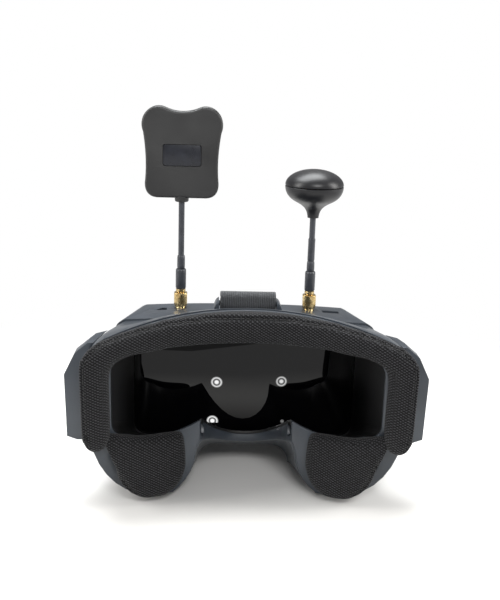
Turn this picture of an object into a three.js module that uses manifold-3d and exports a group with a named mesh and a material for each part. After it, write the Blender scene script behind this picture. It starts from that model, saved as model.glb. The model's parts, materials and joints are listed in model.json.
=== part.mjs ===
// Box-type video goggles for flying model aircraft, resting on a table as they are put down.
// Millimetres. +X is the wearer's right, +Y points ahead of the wearer, +Z is up.
// While it is built, Y = 0 is the line through the two antenna sockets and Z = 0 is the table.
// The last lines move the origin to the middle of the footprint of the whole object.

import * as THREE from 'three';
import { mergeVertices } from 'three/addons/utils/BufferGeometryUtils.js';
import Module from 'manifold-3d';

const wasm = await Module();
wasm.setup();

// ---------------------------------------------------------------- driving dimensions

const GAP = 0.3;                 // between pieces that touch
const RUN = 0.35;                // round a moving piece
const WALL = 2.2;                // moulded shells
const THIN = 1.6;                // liners and light boxes

const BODY_TOP = 93.3;           // table to the top of the body where its two halves meet
const SPLIT_Y = -25;             // where the display module meets the rear shell
const SPLIT_HALF_WIDTH = 78;

const FACE_Y = -60;              // rear edge of the rear shell on the centre line
const FACE_CURVE = 24;           // how much further back it reaches at its widest
const FACE_HALF_WIDTH = 88;
const FACE_TOP = 110;            // top of the brow arch

const FRONT_Y = 34;              // front of the display module
const COVER_Y = 22;              // joint between the module housing and the front cover
const CREST_Y = 9;               // where the top starts to fall towards the front
const FRONT_HALF_WIDTH = 60;

const NOSE_HALF_WIDTH = 27;      // nose tunnel under the body
const NOSE_FLARE = 13;           // how much wider the tunnel's foot is on the face side
const NOSE_ROOF_FRONT = 13;      // height of its roof ahead of the split
const NOSE_ROOF_BACK = 34;       // and at the face
const NOSE_SCOOP_Y = -36;        // how far the nose cut reaches into the shroud floor

const LENS_HALF_WIDTH = 69;
const LENS_HEIGHT = 69;
const LENS_CENTRE = 52.3;
const LENS_THICK = 2;
const LENS_LIP = 2.4;            // lens edge that the frame covers

const EYE_HALF_WIDTH = 75;       // opening in the face
const EYE_TOP = 92.6;
const EYE_CHEEK = { x: 50, z: 31 };
const EYE_NOSE = { x: 24.5, z: 45.5 };
const EYE_SIDE_Z = 40;

const CUSHION_THICK = 14;
const CUSHION_PROUD = 3;         // cushion outside the shell's edge
const CUSHION_INNER = 73.5;      // middle to the inner edge of a leg of the brow cushion
const CUSHION_TOP = 92;          // inner edge of the brow cushion over the nose
const CUSHION_END_Z = 38.5;      // lower ends of the brow cushion
const FRAME_THICK = 2;
const PAD_THICK = 13;
const PAD_LOW = 3;               // table to the lowest edge of a cheek pad

// A strap anchor flares to `reach` past the shell between `front` and `rear`.
const ANCHOR = { reach: 13.5, front: -44, rear: -71, high: 92, crease: 73.5, low: 37 };
const ANCHOR_SLOT = { from: 5, to: 9.5, low: 41, high: 68 };

const sideSlope = (SPLIT_HALF_WIDTH - FRONT_HALF_WIDTH) / (FRONT_Y - SPLIT_Y);
const SCREEN_HEIGHT = 71;
const SCREEN = {
  width: 120.7, height: SCREEN_HEIGHT, thick: 3.4,
  y: 19.8 - WALL / sideSlope,    // further back behind a thicker wall, where the body is wider
  centre: NOSE_ROOF_FRONT + WALL + 0.4 + SCREEN_HEIGHT / 2,
};
const SCREEN_VIEW = { width: 108, height: 64.8 };
const BOARD = { width: 112, height: 64, thick: 1.6 };
const BATTERY = { width: 76, height: 34, thick: 6.8 };

const ANTENNA_X = 40;            // antenna sockets, either side of the middle
const STRAP_WIDTH = 32;
const STRAP_THICK = 1.6;
const BRACKET = { width: 39, depth: 13, height: 9.4, y: -39, bar: 3.2, rise: 3.5 };

const KEY = { count: 5, radius: 3.2, pitch: 11, travel: 0.6, proud: 1.1, y: 2, middle: 52 };
const LATCH = { x: 53.5, y: -3, width: 9.6, depth: 4.6, sunk: 2.3 };
const NUT = 9;                   // height of a coupling nut

// ---------------------------------------------------------------- helpers

const goggles = new THREE.Group();
goggles.name = 'fpv_goggles';

const finish = {
  shell: { color: 0x25272b, roughness: 0.5, metalness: 0 },
  inner: { color: 0x0d0e10, roughness: 0.7, metalness: 0 },
  fabric: { color: 0x1b1b1d, roughness: 0.95, metalness: 0 },
  webbing: { color: 0x2e3034, roughness: 0.9, metalness: 0 },
  lens: { color: 0x1c2026, roughness: 0.05, metalness: 0 },
  glass: { color: 0x05060a, roughness: 0.1, metalness: 0 },
  board: { color: 0x0f4a2c, roughness: 0.6, metalness: 0 },
  steel: { color: 0x9a9a9a, roughness: 0.35, metalness: 1 },
  brass: { color: 0xc9a25a, roughness: 0.25, metalness: 1 },
  rubber: { color: 0x3a3d42, roughness: 0.8, metalness: 0 },
  patch: { color: 0x2c2c2d, roughness: 0.6, metalness: 0 },
  gloss: { color: 0x101114, roughness: 0.25, metalness: 0 },
  foil: { color: 0x9fa4aa, roughness: 0.4, metalness: 0 },
};

function add(name, geometry, material) {
  const mesh = new THREE.Mesh(geometry, new THREE.MeshStandardMaterial(finish[material]));
  mesh.name = name;
  goggles.add(mesh);
  return mesh;
}

// A closed geometry as a solid that can be cut and joined.
function solid(geometry) {
  const bare = geometry.index ? geometry.toNonIndexed() : geometry.clone();
  bare.deleteAttribute('normal');
  bare.deleteAttribute('uv');
  const merged = mergeVertices(bare, 1e-4);
  return new wasm.Manifold(new wasm.Mesh({
    numProp: 3,
    vertProperties: new Float32Array(merged.attributes.position.array),
    triVerts: new Uint32Array(merged.index.array),
  }));
}

function geometryOf(manifold) {
  const mesh = manifold.getMesh();
  const geometry = new THREE.BufferGeometry();
  const points = [];
  for (let i = 0; i < mesh.vertProperties.length; i += mesh.numProp) {
    points.push(mesh.vertProperties[i], mesh.vertProperties[i + 1], mesh.vertProperties[i + 2]);
  }
  geometry.setAttribute('position', new THREE.Float32BufferAttribute(points, 3));
  geometry.setIndex(Array.from(mesh.triVerts));
  geometry.computeVertexNormals();
  return geometry;
}

function box(x0, x1, y0, y1, z0, z1) {
  const geometry = new THREE.BoxGeometry(x1 - x0, y1 - y0, z1 - z0);
  return geometry.translate((x0 + x1) / 2, (y0 + y1) / 2, (z0 + z1) / 2);
}

// A cylinder about the X, Y or Z axis.
function rod(axis, radius, from, to, sides = 24, radiusTo = radius) {
  const geometry = new THREE.CylinderGeometry(radiusTo, radius, to - from, sides);
  geometry.translate(0, (from + to) / 2, 0);
  if (axis === 'x') geometry.rotateZ(-Math.PI / 2);
  if (axis === 'z') geometry.rotateX(Math.PI / 2);
  return geometry;
}

// An outline in the XZ plane, extruded along +Y from y0 to y1.
function plate(shape, y0, y1, segments = 6) {
  const geometry = new THREE.ExtrudeGeometry(shape, {
    depth: y1 - y0, bevelEnabled: false, curveSegments: segments,
  });
  return geometry.rotateX(Math.PI / 2).translate(0, y1, 0);
}

function roundedRect(x0, x1, z0, z1, radius) {
  const shape = new THREE.Shape();
  shape.moveTo(x0 + radius, z0);
  shape.lineTo(x1 - radius, z0);
  shape.absarc(x1 - radius, z0 + radius, radius, -Math.PI / 2, 0, false);
  shape.lineTo(x1, z1 - radius);
  shape.absarc(x1 - radius, z1 - radius, radius, 0, Math.PI / 2, false);
  shape.lineTo(x0 + radius, z1);
  shape.absarc(x0 + radius, z1 - radius, radius, Math.PI / 2, Math.PI, false);
  shape.lineTo(x0, z0 + radius);
  shape.absarc(x0 + radius, z0 + radius, radius, Math.PI, Math.PI * 1.5, false);
  return shape;
}

// ---------------------------------------------------------------- sections and lofts

const SECTION_STEPS = 7;         // points on each curve of a section

// Half of a body section, from the top of the centre line down the right side to the bottom.
// Every section has the same run of curves, so two sections can be blended point by point.
function sectionPoints(s) {
  const half = new THREE.Path();
  const shoulderZ = s.top - s.crown;
  half.moveTo(0, s.top);
  half.quadraticCurveTo((s.halfWidth - s.topRadius) * 0.55, s.top, s.halfWidth - s.topRadius, shoulderZ);
  half.quadraticCurveTo(s.halfWidth - s.topRadius * 0.08, shoulderZ - s.topRadius * 0.3,
    s.halfWidth, shoulderZ - s.topRadius);
  half.lineTo(s.halfWidth - s.draft, s.bottomSide + s.bottomRise);
  half.quadraticCurveTo(s.halfWidth - s.draft - s.bottomCut, s.bottomSide + s.bottomCut,
    s.halfWidth - s.draft - s.bottomRadius, s.bottomSide);
  half.quadraticCurveTo(s.cheek.x, s.cheek.z, s.nose.x, s.nose.z);
  half.lineTo(0, s.nose.z);
  const right = half.getPoints(SECTION_STEPS).map((p) => [p.x, p.y]);
  const left = right.slice(1, -1).reverse().map(([x, z]) => [-x, z]);
  return right.concat(left);
}

function plainSection(halfWidth, top, bottom, crown, topRadius, bottomRadius, draft = 0) {
  const flat = halfWidth - draft - bottomRadius;
  return {
    halfWidth, top, crown, topRadius, bottomRadius, bottomRise: bottomRadius, bottomCut: 0,
    draft, bottomSide: bottom,
    cheek: { x: flat * 0.7, z: bottom }, nose: { x: flat * 0.4, z: bottom },
  };
}

function blend(a, b, t) {
  if (typeof a === 'number') return a + (b - a) * t;
  const out = {};
  for (const key of Object.keys(a)) out[key] = blend(a[key], b[key], t);
  return out;
}

// The same section, smaller all round by d (larger where d is negative).
function inset(s, d) {
  return {
    ...s,
    halfWidth: s.halfWidth - d,
    top: s.top - d,
    bottomSide: s.bottomSide + d,
    topRadius: Math.max(s.topRadius - d * 0.5, 1),
    bottomRadius: Math.max(s.bottomRadius - d * 0.5, 1),
    bottomRise: Math.max(s.bottomRise - d * 0.5, 1),
    cheek: { x: s.cheek.x, z: s.cheek.z + d },
    nose: { x: s.nose.x, z: s.nose.z + d },
  };
}

// A closed solid through rings of points, from the front (+Y) ring to the rear ring.
function loft(rings) {
  const steps = rings.length - 1;
  const count = rings[0].length;
  const middles = rings.map((points) => {
    const sum = points.reduce((a, p) => [a[0] + p[0], a[1] + p[1], a[2] + p[2]], [0, 0, 0]);
    return sum.map((v) => v / count);
  });
  const geometry = new THREE.CylinderGeometry(1, 1, 1, count, steps);
  const position = geometry.attributes.position;
  for (let i = 0; i < position.count; i += 1) {
    const x = position.getX(i);
    const z = position.getZ(i);
    const k = Math.round((0.5 - position.getY(i)) * steps);
    const turn = Math.atan2(x, z) / (2 * Math.PI);
    const j = Math.round((turn < -1e-6 ? turn + 1 : turn) * count) % count;
    const point = Math.hypot(x, z) < 0.5 ? middles[k] : rings[k][j];
    position.setXYZ(i, point[0], point[1], point[2]);
  }
  return geometry;
}

const ease = (t) => t * t * (3 - 2 * t);
const OVERRUN = 0.2;             // how far cutting bodies run past their ends, as a share of depth

// The rear edge follows the forehead: further back towards the temples.
const faceY = (x) => FACE_Y - FACE_CURVE * (x / FACE_HALF_WIDTH) ** 2;

const splitSection = plainSection(SPLIT_HALF_WIDTH, BODY_TOP, 0, 2.2, 6.5, 17, 1);
const faceSection = {
  ...plainSection(FACE_HALF_WIDTH, FACE_TOP, 0.8, 12.3, 12, 32, 1), bottomRise: 42, bottomCut: 6.5,
};

// Depths of the rings of a loft from 0 (front) to 1 (rear), with one more beyond each end.
function depths(steps) {
  const list = [-OVERRUN];
  for (let k = 0; k <= steps; k += 1) list.push(k / steps);
  return list.concat(1 + OVERRUN);
}

const inRange = (t) => Math.min(Math.max(t, 0), 1);

// The body behind the split, smaller all round by d. It runs on past both of its ends.
function rearBody(d) {
  return loft(depths(5).map((depth) => {
    const at = inRange(depth);
    const s = inset(blend(splitSection, faceSection, ease(at)), d);
    s.halfWidth = blend(SPLIT_HALF_WIDTH, FACE_HALF_WIDTH, Math.sin(at * Math.PI / 2)) - d;
    return sectionPoints(s).map(([x, z]) => [x, SPLIT_Y + (faceY(x) - SPLIT_Y) * depth, z]);
  }));
}

// Everything between two depths behind the curved rear edge.
function behindFace(from, to) {
  const reach = FACE_HALF_WIDTH + 30;
  const points = [];
  const steps = 24;
  for (let i = 0; i <= steps; i += 1) {
    const x = -reach + (2 * reach * i) / steps;
    points.push(new THREE.Vector2(x, faceY(x) - from));
  }
  const rear = points.map((p) => new THREE.Vector2(p.x, p.y + from - to));
  const shape = new THREE.Shape(rear.concat(points.reverse()));
  return new THREE.ExtrudeGeometry(shape, { depth: 240, bevelEnabled: false }).translate(0, 0, -20);
}

const lensSection = plainSection(LENS_HALF_WIDTH - LENS_LIP, LENS_CENTRE + LENS_HEIGHT / 2 - LENS_LIP,
  LENS_CENTRE - LENS_HEIGHT / 2 + LENS_LIP, 0.4, 8, 8, 0);
const eyeSection = {
  halfWidth: EYE_HALF_WIDTH, top: EYE_TOP, crown: 5, topRadius: 9, bottomRadius: 9, bottomRise: 9,
  bottomCut: 0, draft: 0, bottomSide: EYE_SIDE_Z, cheek: EYE_CHEEK, nose: EYE_NOSE,
};
const SHROUD_Y = SPLIT_Y - 3.6;

// The tunnel from the lens to the eyes, smaller all round by d. It runs on past both of its ends.
function eyeTunnel(d) {
  return loft(depths(4).map((depth) => {
    const s = inset(blend(lensSection, eyeSection, inRange(depth)), d);
    return sectionPoints(s).map(([x, z]) => [x, SHROUD_Y + (faceY(x) - SHROUD_Y) * depth, z]);
  }));
}

// The nose tunnel that runs under the body, wider all round by d.
function noseTunnel(d) {
  const frontY = FRONT_Y + 5;
  const rearY = FACE_Y - 40;
  const roofAt = (y) => {
    const rise = Math.max(SPLIT_Y - y, 0) / (SPLIT_Y - FACE_Y);
    return NOSE_ROOF_FRONT + (NOSE_ROOF_BACK - NOSE_ROOF_FRONT) * rise;
  };
  return loft([frontY, SPLIT_Y, FACE_Y, rearY].map((y) => {
    const roof = roofAt(y) + d;
    const half = NOSE_HALF_WIDTH + d;
    const right = new THREE.Path();
    right.moveTo(0, roof);
    right.lineTo(half * 0.55, roof);
    right.quadraticCurveTo(half, roof, half + 1.5, roof - 12);
    const foot = half + 6 + (y < SPLIT_Y ? NOSE_FLARE : 0);
    right.quadraticCurveTo(half + 3, (roof - 12) / 4, foot, -2);
    right.lineTo(0, -2);
    const points = right.getPoints(6).map((p) => [p.x, y, p.y]);
    const left = points.slice(1, -1).reverse().map(([x, py, z]) => [-x, py, z]);
    return points.concat(left);
  }));
}

// The cut that lets the bridge of the nose in, an ellipse seen from above.
function noseScoop() {
  const centreY = FACE_Y - 30;
  const shape = new THREE.Shape();
  shape.absellipse(0, centreY, EYE_NOSE.x + 5.5, NOSE_SCOOP_Y - centreY, 0, Math.PI * 2, false, 0);
  const geometry = new THREE.ExtrudeGeometry(shape, { depth: 60, bevelEnabled: false, curveSegments: 20 });
  return geometry.translate(0, 0, -2);
}

// ---------------------------------------------------------------- face side

const aheadOfSplit = () => solid(box(-150, 150, SPLIT_Y, SPLIT_Y + 60, -10, 200));

function rearShell() {
  const outer = solid(rearBody(0)).subtract(aheadOfSplit()).subtract(solid(behindFace(0, 80)));
  const bridgeWidth = NOSE_HALF_WIDTH + NOSE_FLARE + 8;
  const bridge = outer.intersect(solid(noseTunnel(WALL)))
    .intersect(solid(box(-bridgeWidth, bridgeWidth, FACE_Y - 40, SPLIT_Y, -1, EYE_NOSE.z)));
  const floor = outer
    .intersect(solid(box(-EYE_NOSE.x, EYE_NOSE.x, FACE_Y - 40, SHROUD_Y, 0, EYE_NOSE.z)));
  return outer.subtract(solid(rearBody(WALL))).add(bridge).add(floor)
    .subtract(solid(eyeTunnel(-THIN - GAP)).subtract(aheadOfSplit()))
    .subtract(solid(noseTunnel(0)))
    .subtract(solid(noseScoop()));
}

function eyeShroud() {
  return solid(eyeTunnel(-THIN)).subtract(solid(eyeTunnel(0)))
    .subtract(solid(box(-150, 150, SHROUD_Y, SPLIT_Y + 60, -10, 200)))
    .subtract(solid(behindFace(0, 80)))
    .subtract(solid(noseScoop()));
}

function lensFrame() {
  const outer = solid(rearBody(WALL + GAP))
    .intersect(solid(box(-100, 100, SHROUD_Y + GAP, SPLIT_Y - GAP, 0, 120)))
    .subtract(solid(noseTunnel(WALL + GAP)));
  const half = LENS_HEIGHT / 2;
  const view = roundedRect(-LENS_HALF_WIDTH + LENS_LIP, LENS_HALF_WIDTH - LENS_LIP,
    LENS_CENTRE - half + LENS_LIP, LENS_CENTRE + half - LENS_LIP, 8);
  const seat = roundedRect(-LENS_HALF_WIDTH - GAP, LENS_HALF_WIDTH + GAP,
    LENS_CENTRE - half - GAP, LENS_CENTRE + half + GAP, 10);
  return outer
    .subtract(solid(plate(view, SHROUD_Y - 5, SPLIT_Y + 5)))
    .subtract(solid(plate(seat, SPLIT_Y - GAP - LENS_THICK - GAP, SPLIT_Y + 5)));
}

function lens() {
  const half = LENS_HEIGHT / 2;
  const outline = roundedRect(-LENS_HALF_WIDTH, LENS_HALF_WIDTH, LENS_CENTRE - half, LENS_CENTRE + half, 9.7);
  return plate(outline, SPLIT_Y - GAP - LENS_THICK, SPLIT_Y - GAP);
}

// A closed outline in the XZ plane through a section's points.
function sectionShape(section) {
  return new THREE.Shape(sectionPoints(section).reverse().map(([x, z]) => new THREE.Vector2(x, z)));
}

function faceFrame() {
  return solid(plate(sectionShape(inset(faceSection, 0.6)), -150, 0))
    .intersect(solid(behindFace(GAP, GAP + FRAME_THICK)))
    .subtract(solid(plate(sectionShape(eyeSection), -160, 10)))
    .subtract(solid(noseTunnel(0.4)))
    .subtract(solid(noseScoop()));
}

// Half of the inner edge of the brow cushion, drawn with the same run of curves as a section.
const cushionInner = {
  halfWidth: CUSHION_INNER, top: CUSHION_TOP, crown: 5.4, topRadius: 6, draft: 0, bottomSide: 0,
  bottomRadius: 9, bottomRise: 9, bottomCut: 0, cheek: EYE_CHEEK, nose: EYE_NOSE,
};

// The brow cushion: a fat band round the top and both sides of the eye opening.
function browCushion() {
  const depth = GAP * 3 + FRAME_THICK;
  const outline = sectionPoints(inset(faceSection, -CUSHION_PROUD));
  const inner = sectionPoints(cushionInner);
  const corner = outline.findIndex(([, z]) => z < FACE_TOP - faceSection.crown - 10);
  const right = [];
  for (let i = 0; i <= corner; i += 1) right.push({ out: outline[i], inn: inner[i], swell: 1 });
  const legEnds = [[24, 1], [12, 1], [7, 0.96], [3, 0.84], [1, 0.66], [0, 0.4]];
  for (const [up, swell] of legEnds) {
    const z = CUSHION_END_Z + up;
    right.push({ out: [outline[corner][0] - 0.3, z], inn: [CUSHION_INNER, z], swell });
  }
  const flipped = ([x, z]) => [-x, z];
  const left = right.slice(1).reverse().map(({ out, inn, swell }) => (
    { out: flipped(out), inn: flipped(inn), swell }));
  const sides = 10;
  return loft(left.concat(right).map(({ out, inn, swell }) => {
    const ring = [];
    for (let j = 0; j < sides; j += 1) {
      const angle = -(j / sides) * Math.PI * 2;
      const across = Math.sign(Math.cos(angle)) * Math.abs(Math.cos(angle)) ** 0.75 * swell / 2 + 0.5;
      const deep = Math.sign(Math.sin(angle)) * Math.abs(Math.sin(angle)) ** 0.75 * swell / 2 + 0.5;
      const x = inn[0] + (out[0] - inn[0]) * across;
      const z = inn[1] + (out[1] - inn[1]) * across;
      ring.push([x, faceY(x) - depth - CUSHION_THICK * deep, z]);
    }
    return ring;
  }));
}

// A cheek pad: a shield whose round end rests low on the cheek.
function cheekPad() {
  const inner = NOSE_HALF_WIDTH + 6.5;
  const outer = FACE_HALF_WIDTH - 14;
  const topZ = EYE_SIDE_Z + 0.8;
  const path = new THREE.Path();
  path.moveTo(EYE_CHEEK.x, topZ);
  path.quadraticCurveTo(outer - 8, topZ + 0.2, outer - 3.5, topZ + 1.4);
  path.quadraticCurveTo(outer, topZ + 1, outer - 0.3, topZ - 7);
  path.bezierCurveTo(outer - 2.5, PAD_LOW + 13, outer - 13, PAD_LOW, outer - 21, PAD_LOW);
  path.bezierCurveTo(inner + 9, PAD_LOW, inner + 1.5, PAD_LOW + 10, inner, topZ - 8);
  path.quadraticCurveTo(inner - 0.5, topZ + 1.2, inner + 5, topZ + 1.4);
  path.quadraticCurveTo(inner + 10, topZ + 0.6, EYE_CHEEK.x, topZ);
  const outline = path.getSpacedPoints(30).slice(0, -1);
  const middle = { x: (inner + outer) / 2, z: (PAD_LOW + topZ) / 2 };
  const base = GAP * 3 + FRAME_THICK;
  const layers = [[0.93, 0], [1, 0.2], [1, 0.6], [0.94, 0.88], [0.78, 1]];
  const pad = loft(layers.map(([share, deep]) => outline.map((p) => {
    const x = middle.x + (p.x - middle.x) * share;
    const z = middle.z + (p.y - middle.z) * share;
    return [x, faceY(x) - base - PAD_THICK * deep, z];
  })));
  return solid(pad).subtract(solid(noseTunnel(0.6))).subtract(solid(noseScoop()));
}

// A strap anchor: a wedge that flares from the side of the rear shell, with a slot for webbing.
function strapAnchor() {
  const { reach, front, rear, high, crease, low } = ANCHOR;
  const shape = new THREE.Shape();
  const out = FACE_HALF_WIDTH + reach;
  const root = FACE_HALF_WIDTH - 14;
  shape.moveTo(root, high);
  shape.lineTo(FACE_HALF_WIDTH, high);
  shape.lineTo(FACE_HALF_WIDTH + reach * 0.55, (high + high + crease) / 3);
  shape.lineTo(out, crease);
  shape.lineTo(out - 1, low);
  shape.lineTo(FACE_HALF_WIDTH + reach * 0.5, low - 2);
  shape.lineTo(root, low - 2);
  const geometry = new THREE.ExtrudeGeometry(shape, { depth: front - rear, bevelEnabled: false, steps: 3 });
  geometry.rotateX(Math.PI / 2).translate(0, front, 0);
  const position = geometry.attributes.position;
  const narrow = FACE_HALF_WIDTH - 9;
  for (let i = 0; i < position.count; i += 1) {
    const x = position.getX(i);
    const flare = (front - position.getY(i)) / (front - rear);
    const limit = narrow + (out - narrow) * Math.min(flare * 1.25, 1);
    if (x > narrow - 1) position.setX(i, Math.min(x, limit - (out - x) * 0.2));
  }
  return solid(geometry)
    .subtract(solid(rearBody(-GAP)))
    .subtract(solid(plate(sectionShape(inset(faceSection, -CUSHION_PROUD - 0.8)), -150, 0))
      .intersect(solid(behindFace(-0.6, 60))))
    .subtract(solid(box(FACE_HALF_WIDTH + 5, out + 5, rear + ANCHOR_SLOT.from, rear + ANCHOR_SLOT.to,
      ANCHOR_SLOT.low, ANCHOR_SLOT.high)));
}

// A mirror image in X whose faces still point outwards.
function mirrored(geometry) {
  const flat = geometry.toNonIndexed();
  const position = flat.attributes.position;
  const values = position.array.slice();
  for (let i = 0; i < position.count; i += 3) {
    [0, 2, 1].forEach((from, to) => {
      position.setXYZ(i + to, -values[(i + from) * 3], values[(i + from) * 3 + 1], values[(i + from) * 3 + 2]);
    });
  }
  return flat;
}

// ---------------------------------------------------------------- top strap

const bracketDepth = (BRACKET.y - SPLIT_Y) / (FACE_Y - SPLIT_Y);
const strapBase = BODY_TOP + (FACE_TOP - BODY_TOP) * ease(bracketDepth) + 1.2;
const barZ = strapBase + BRACKET.height - BRACKET.bar / 2 - 1;

function strapBracket() {
  const { width, depth, height, y, bar } = BRACKET;
  const half = width / 2;
  const shape = new THREE.Shape();
  shape.moveTo(-half, -6);
  shape.lineTo(half, -6);
  shape.lineTo(half, height - 6);
  shape.quadraticCurveTo(half, height, half - 6, height);
  shape.lineTo(-half + 6, height);
  shape.quadraticCurveTo(-half, height, -half, height - 6);
  const inner = STRAP_WIDTH / 2 + RUN * 2;
  const body = solid(plate(shape, y - depth / 2, y + depth / 2).translate(0, 0, strapBase));
  const window = solid(box(-inner, inner, y - depth, y + depth, strapBase + 0.8, strapBase + height + 5));
  const rail = solid(rod('x', bar / 2, -inner - 1, inner + 1, 14).translate(0, y, barZ));
  return body.subtract(window).add(rail).subtract(solid(rearBody(-GAP)));
}

// Webbing round the bar: a tall closed loop whose two plies run forward and are sewn together.
function topStrap() {
  const { y, bar, rise } = BRACKET;
  const r = bar / 2 + 0.4;
  const outer = r + STRAP_THICK;
  const tail = 11;
  const foldZ = barZ + rise;
  const shape = new THREE.Shape();
  shape.absarc(y, foldZ, outer, Math.PI / 2, Math.PI, false);
  shape.absarc(y, barZ, outer, Math.PI, Math.PI * 1.5, false);
  shape.lineTo(y + tail, barZ - 1.2);
  shape.lineTo(y + tail, barZ + 2.4);
  shape.lineTo(y + 1, foldZ + outer);
  const hole = new THREE.Path();
  hole.absarc(y, foldZ, r, Math.PI / 2, Math.PI, false);
  hole.absarc(y, barZ, r, Math.PI, Math.PI * 1.5, false);
  hole.lineTo(y + r + 1.5, barZ - r * 0.5);
  hole.lineTo(y + r + 0.6, foldZ + r * 0.2);
  shape.holes.push(hole);
  const geometry = new THREE.ExtrudeGeometry(shape, {
    depth: STRAP_WIDTH, bevelEnabled: false, curveSegments: 8,
  });
  // The outline was drawn with its first axis along Y and its second along Z.
  geometry.rotateX(Math.PI / 2).rotateZ(Math.PI / 2);
  return geometry.translate(-STRAP_WIDTH / 2, 0, 0);
}

// ---------------------------------------------------------------- display module

const TOP = BODY_TOP + 0.7;      // the flat top, where the antennas stand
const frontDrop = (y) => Math.max(y - CREST_Y, 0) * 0.3;
const moduleWidthAt = (y) => SPLIT_HALF_WIDTH + (FRONT_HALF_WIDTH - SPLIT_HALF_WIDTH)
  * (y - SPLIT_Y) / (FRONT_Y - SPLIT_Y);

function moduleSection(y, d) {
  return inset(plainSection(moduleWidthAt(y), TOP - frontDrop(y), 0, 1.8, 6, 17, 1), d);
}

function moduleBody(d, stations) {
  return loft(stations.map((y) => sectionPoints(moduleSection(y, d)).map(([x, z]) => [x, y, z])));
}

const moduleRear = SPLIT_Y + GAP;
const keyZ = (i) => KEY.middle + (i - (KEY.count - 1) / 2) * KEY.pitch;
const sideHalfWidth = moduleWidthAt(KEY.y) - 0.5;
const keyFlange = KEY.radius + 1.1;
const keyClear = 1 + keyFlange * sideSlope; // between the slanted wall and a key's flange

// Ports in the left wall: name, height, half length along Y, half height.
const PORTS = [
  { name: 'av_jack', z: 28, long: 4, tall: 4, material: 'rubber' },
  { name: 'power_jack', z: 41, long: 4.4, tall: 4.4, material: 'rubber' },
  { name: 'card_slot', z: 55, long: 7, tall: 1.6, material: 'steel' },
];
const SWITCH = { z: 70, long: 6.5, tall: 2.6, travel: 3 };

function moduleHousing() {
  const stations = [COVER_Y - GAP / 2, CREST_Y, moduleRear];
  const through = [COVER_Y + 5, CREST_Y, moduleRear - 5];
  let shell = solid(moduleBody(0, stations)).subtract(solid(moduleBody(WALL, through)));
  const tunnel = solid(noseTunnel(0));
  const lining = solid(noseTunnel(WALL)).intersect(solid(moduleBody(0, stations)));
  shell = shell.add(lining).subtract(tunnel);
  for (const side of [-1, 1]) {
    shell = shell.subtract(solid(rod('z', 3.3, TOP - 15, TOP + 5).translate(side * ANTENNA_X, 0, 0)));
    const x = side * LATCH.x;
    shell = shell.subtract(solid(box(x - LATCH.width / 2 - RUN, x + LATCH.width / 2 + RUN,
      LATCH.y - LATCH.depth / 2 - RUN, LATCH.y + LATCH.depth / 2 + RUN, TOP - 8, TOP + 5)));
  }
  for (let i = 0; i < KEY.count; i += 1) {
    shell = shell.subtract(solid(rod('x', KEY.radius + RUN, 60, 90, 20).translate(0, KEY.y, keyZ(i))));
  }
  for (const port of PORTS) {
    shell = shell.subtract(solid(box(-90, -60, KEY.y - port.long - GAP, KEY.y + port.long + GAP,
      port.z - port.tall - GAP, port.z + port.tall + GAP)));
  }
  shell = shell.subtract(solid(box(-90, -60, KEY.y - SWITCH.long / 2 - SWITCH.travel / 2 - RUN,
    KEY.y + SWITCH.long / 2 + SWITCH.travel / 2 + RUN, SWITCH.z - SWITCH.tall / 2 - RUN,
    SWITCH.z + SWITCH.tall / 2 + RUN)));
  return shell;
}

const screwX = FRONT_HALF_WIDTH - 10;
const SCREWS = [[-screwX, BODY_TOP - 15], [screwX, BODY_TOP - 15], [-screwX, 13], [screwX, 13]];

function coverBody(d, rearY) {
  const stations = [
    { y: FRONT_Y - d, shrink: 11 }, { y: FRONT_Y - 1.2 - d, shrink: 8.6 },
    { y: FRONT_Y - 5 - d * 0.6, shrink: 4.6 }, { y: COVER_Y + 4, shrink: 1.2 }, { y: rearY, shrink: 0 },
  ];
  return loft(stations.map(({ y, shrink }) => {
    const s = moduleSection(y, d);
    s.halfWidth -= shrink;
    s.top -= shrink * 0.75;
    s.bottomSide += shrink * 0.6;
    s.cheek = { x: s.cheek.x, z: s.cheek.z + shrink * 0.6 };
    s.nose = { x: s.nose.x, z: s.nose.z + shrink * 0.6 };
    return sectionPoints(s).map(([x, z]) => [x, y, z]);
  }));
}

function frontCover() {
  const rearY = COVER_Y + GAP / 2;
  let cover = solid(coverBody(0, rearY)).subtract(solid(coverBody(WALL, rearY - 5)));
  const lining = solid(noseTunnel(WALL)).intersect(solid(coverBody(0, rearY)));
  cover = cover.add(lining).subtract(solid(noseTunnel(0)));
  for (const [x, z] of SCREWS) {
    const post = solid(rod('y', 4, rearY + 0.2, FRONT_Y - 1, 16).translate(x, 0, z))
      .intersect(solid(coverBody(0.8, rearY)));
    cover = cover.add(post)
      .subtract(solid(rod('y', 1.7, 0, 60, 12).translate(x, 0, z)))
      .subtract(solid(rod('y', 3.2, FRONT_Y - 6, FRONT_Y + 5, 18).translate(x, 0, z)));
  }
  return cover;
}

function screw() {
  const head = solid(rod('y', 2.8, FRONT_Y - 5.7, FRONT_Y - 3.7, 18));
  const shank = solid(rod('y', 1.4, COVER_Y + 1.5, FRONT_Y - 5, 12));
  const drive = solid(box(-0.5, 0.5, FRONT_Y - 4.7, FRONT_Y, -1.8, 1.8));
  const cross = solid(box(-1.8, 1.8, FRONT_Y - 4.7, FRONT_Y, -0.5, 0.5));
  return head.add(shank).subtract(drive).subtract(cross);
}

const hoodRear = moduleRear + 0.7;
const hoodFront = SCREEN.y - 1.4;

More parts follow.
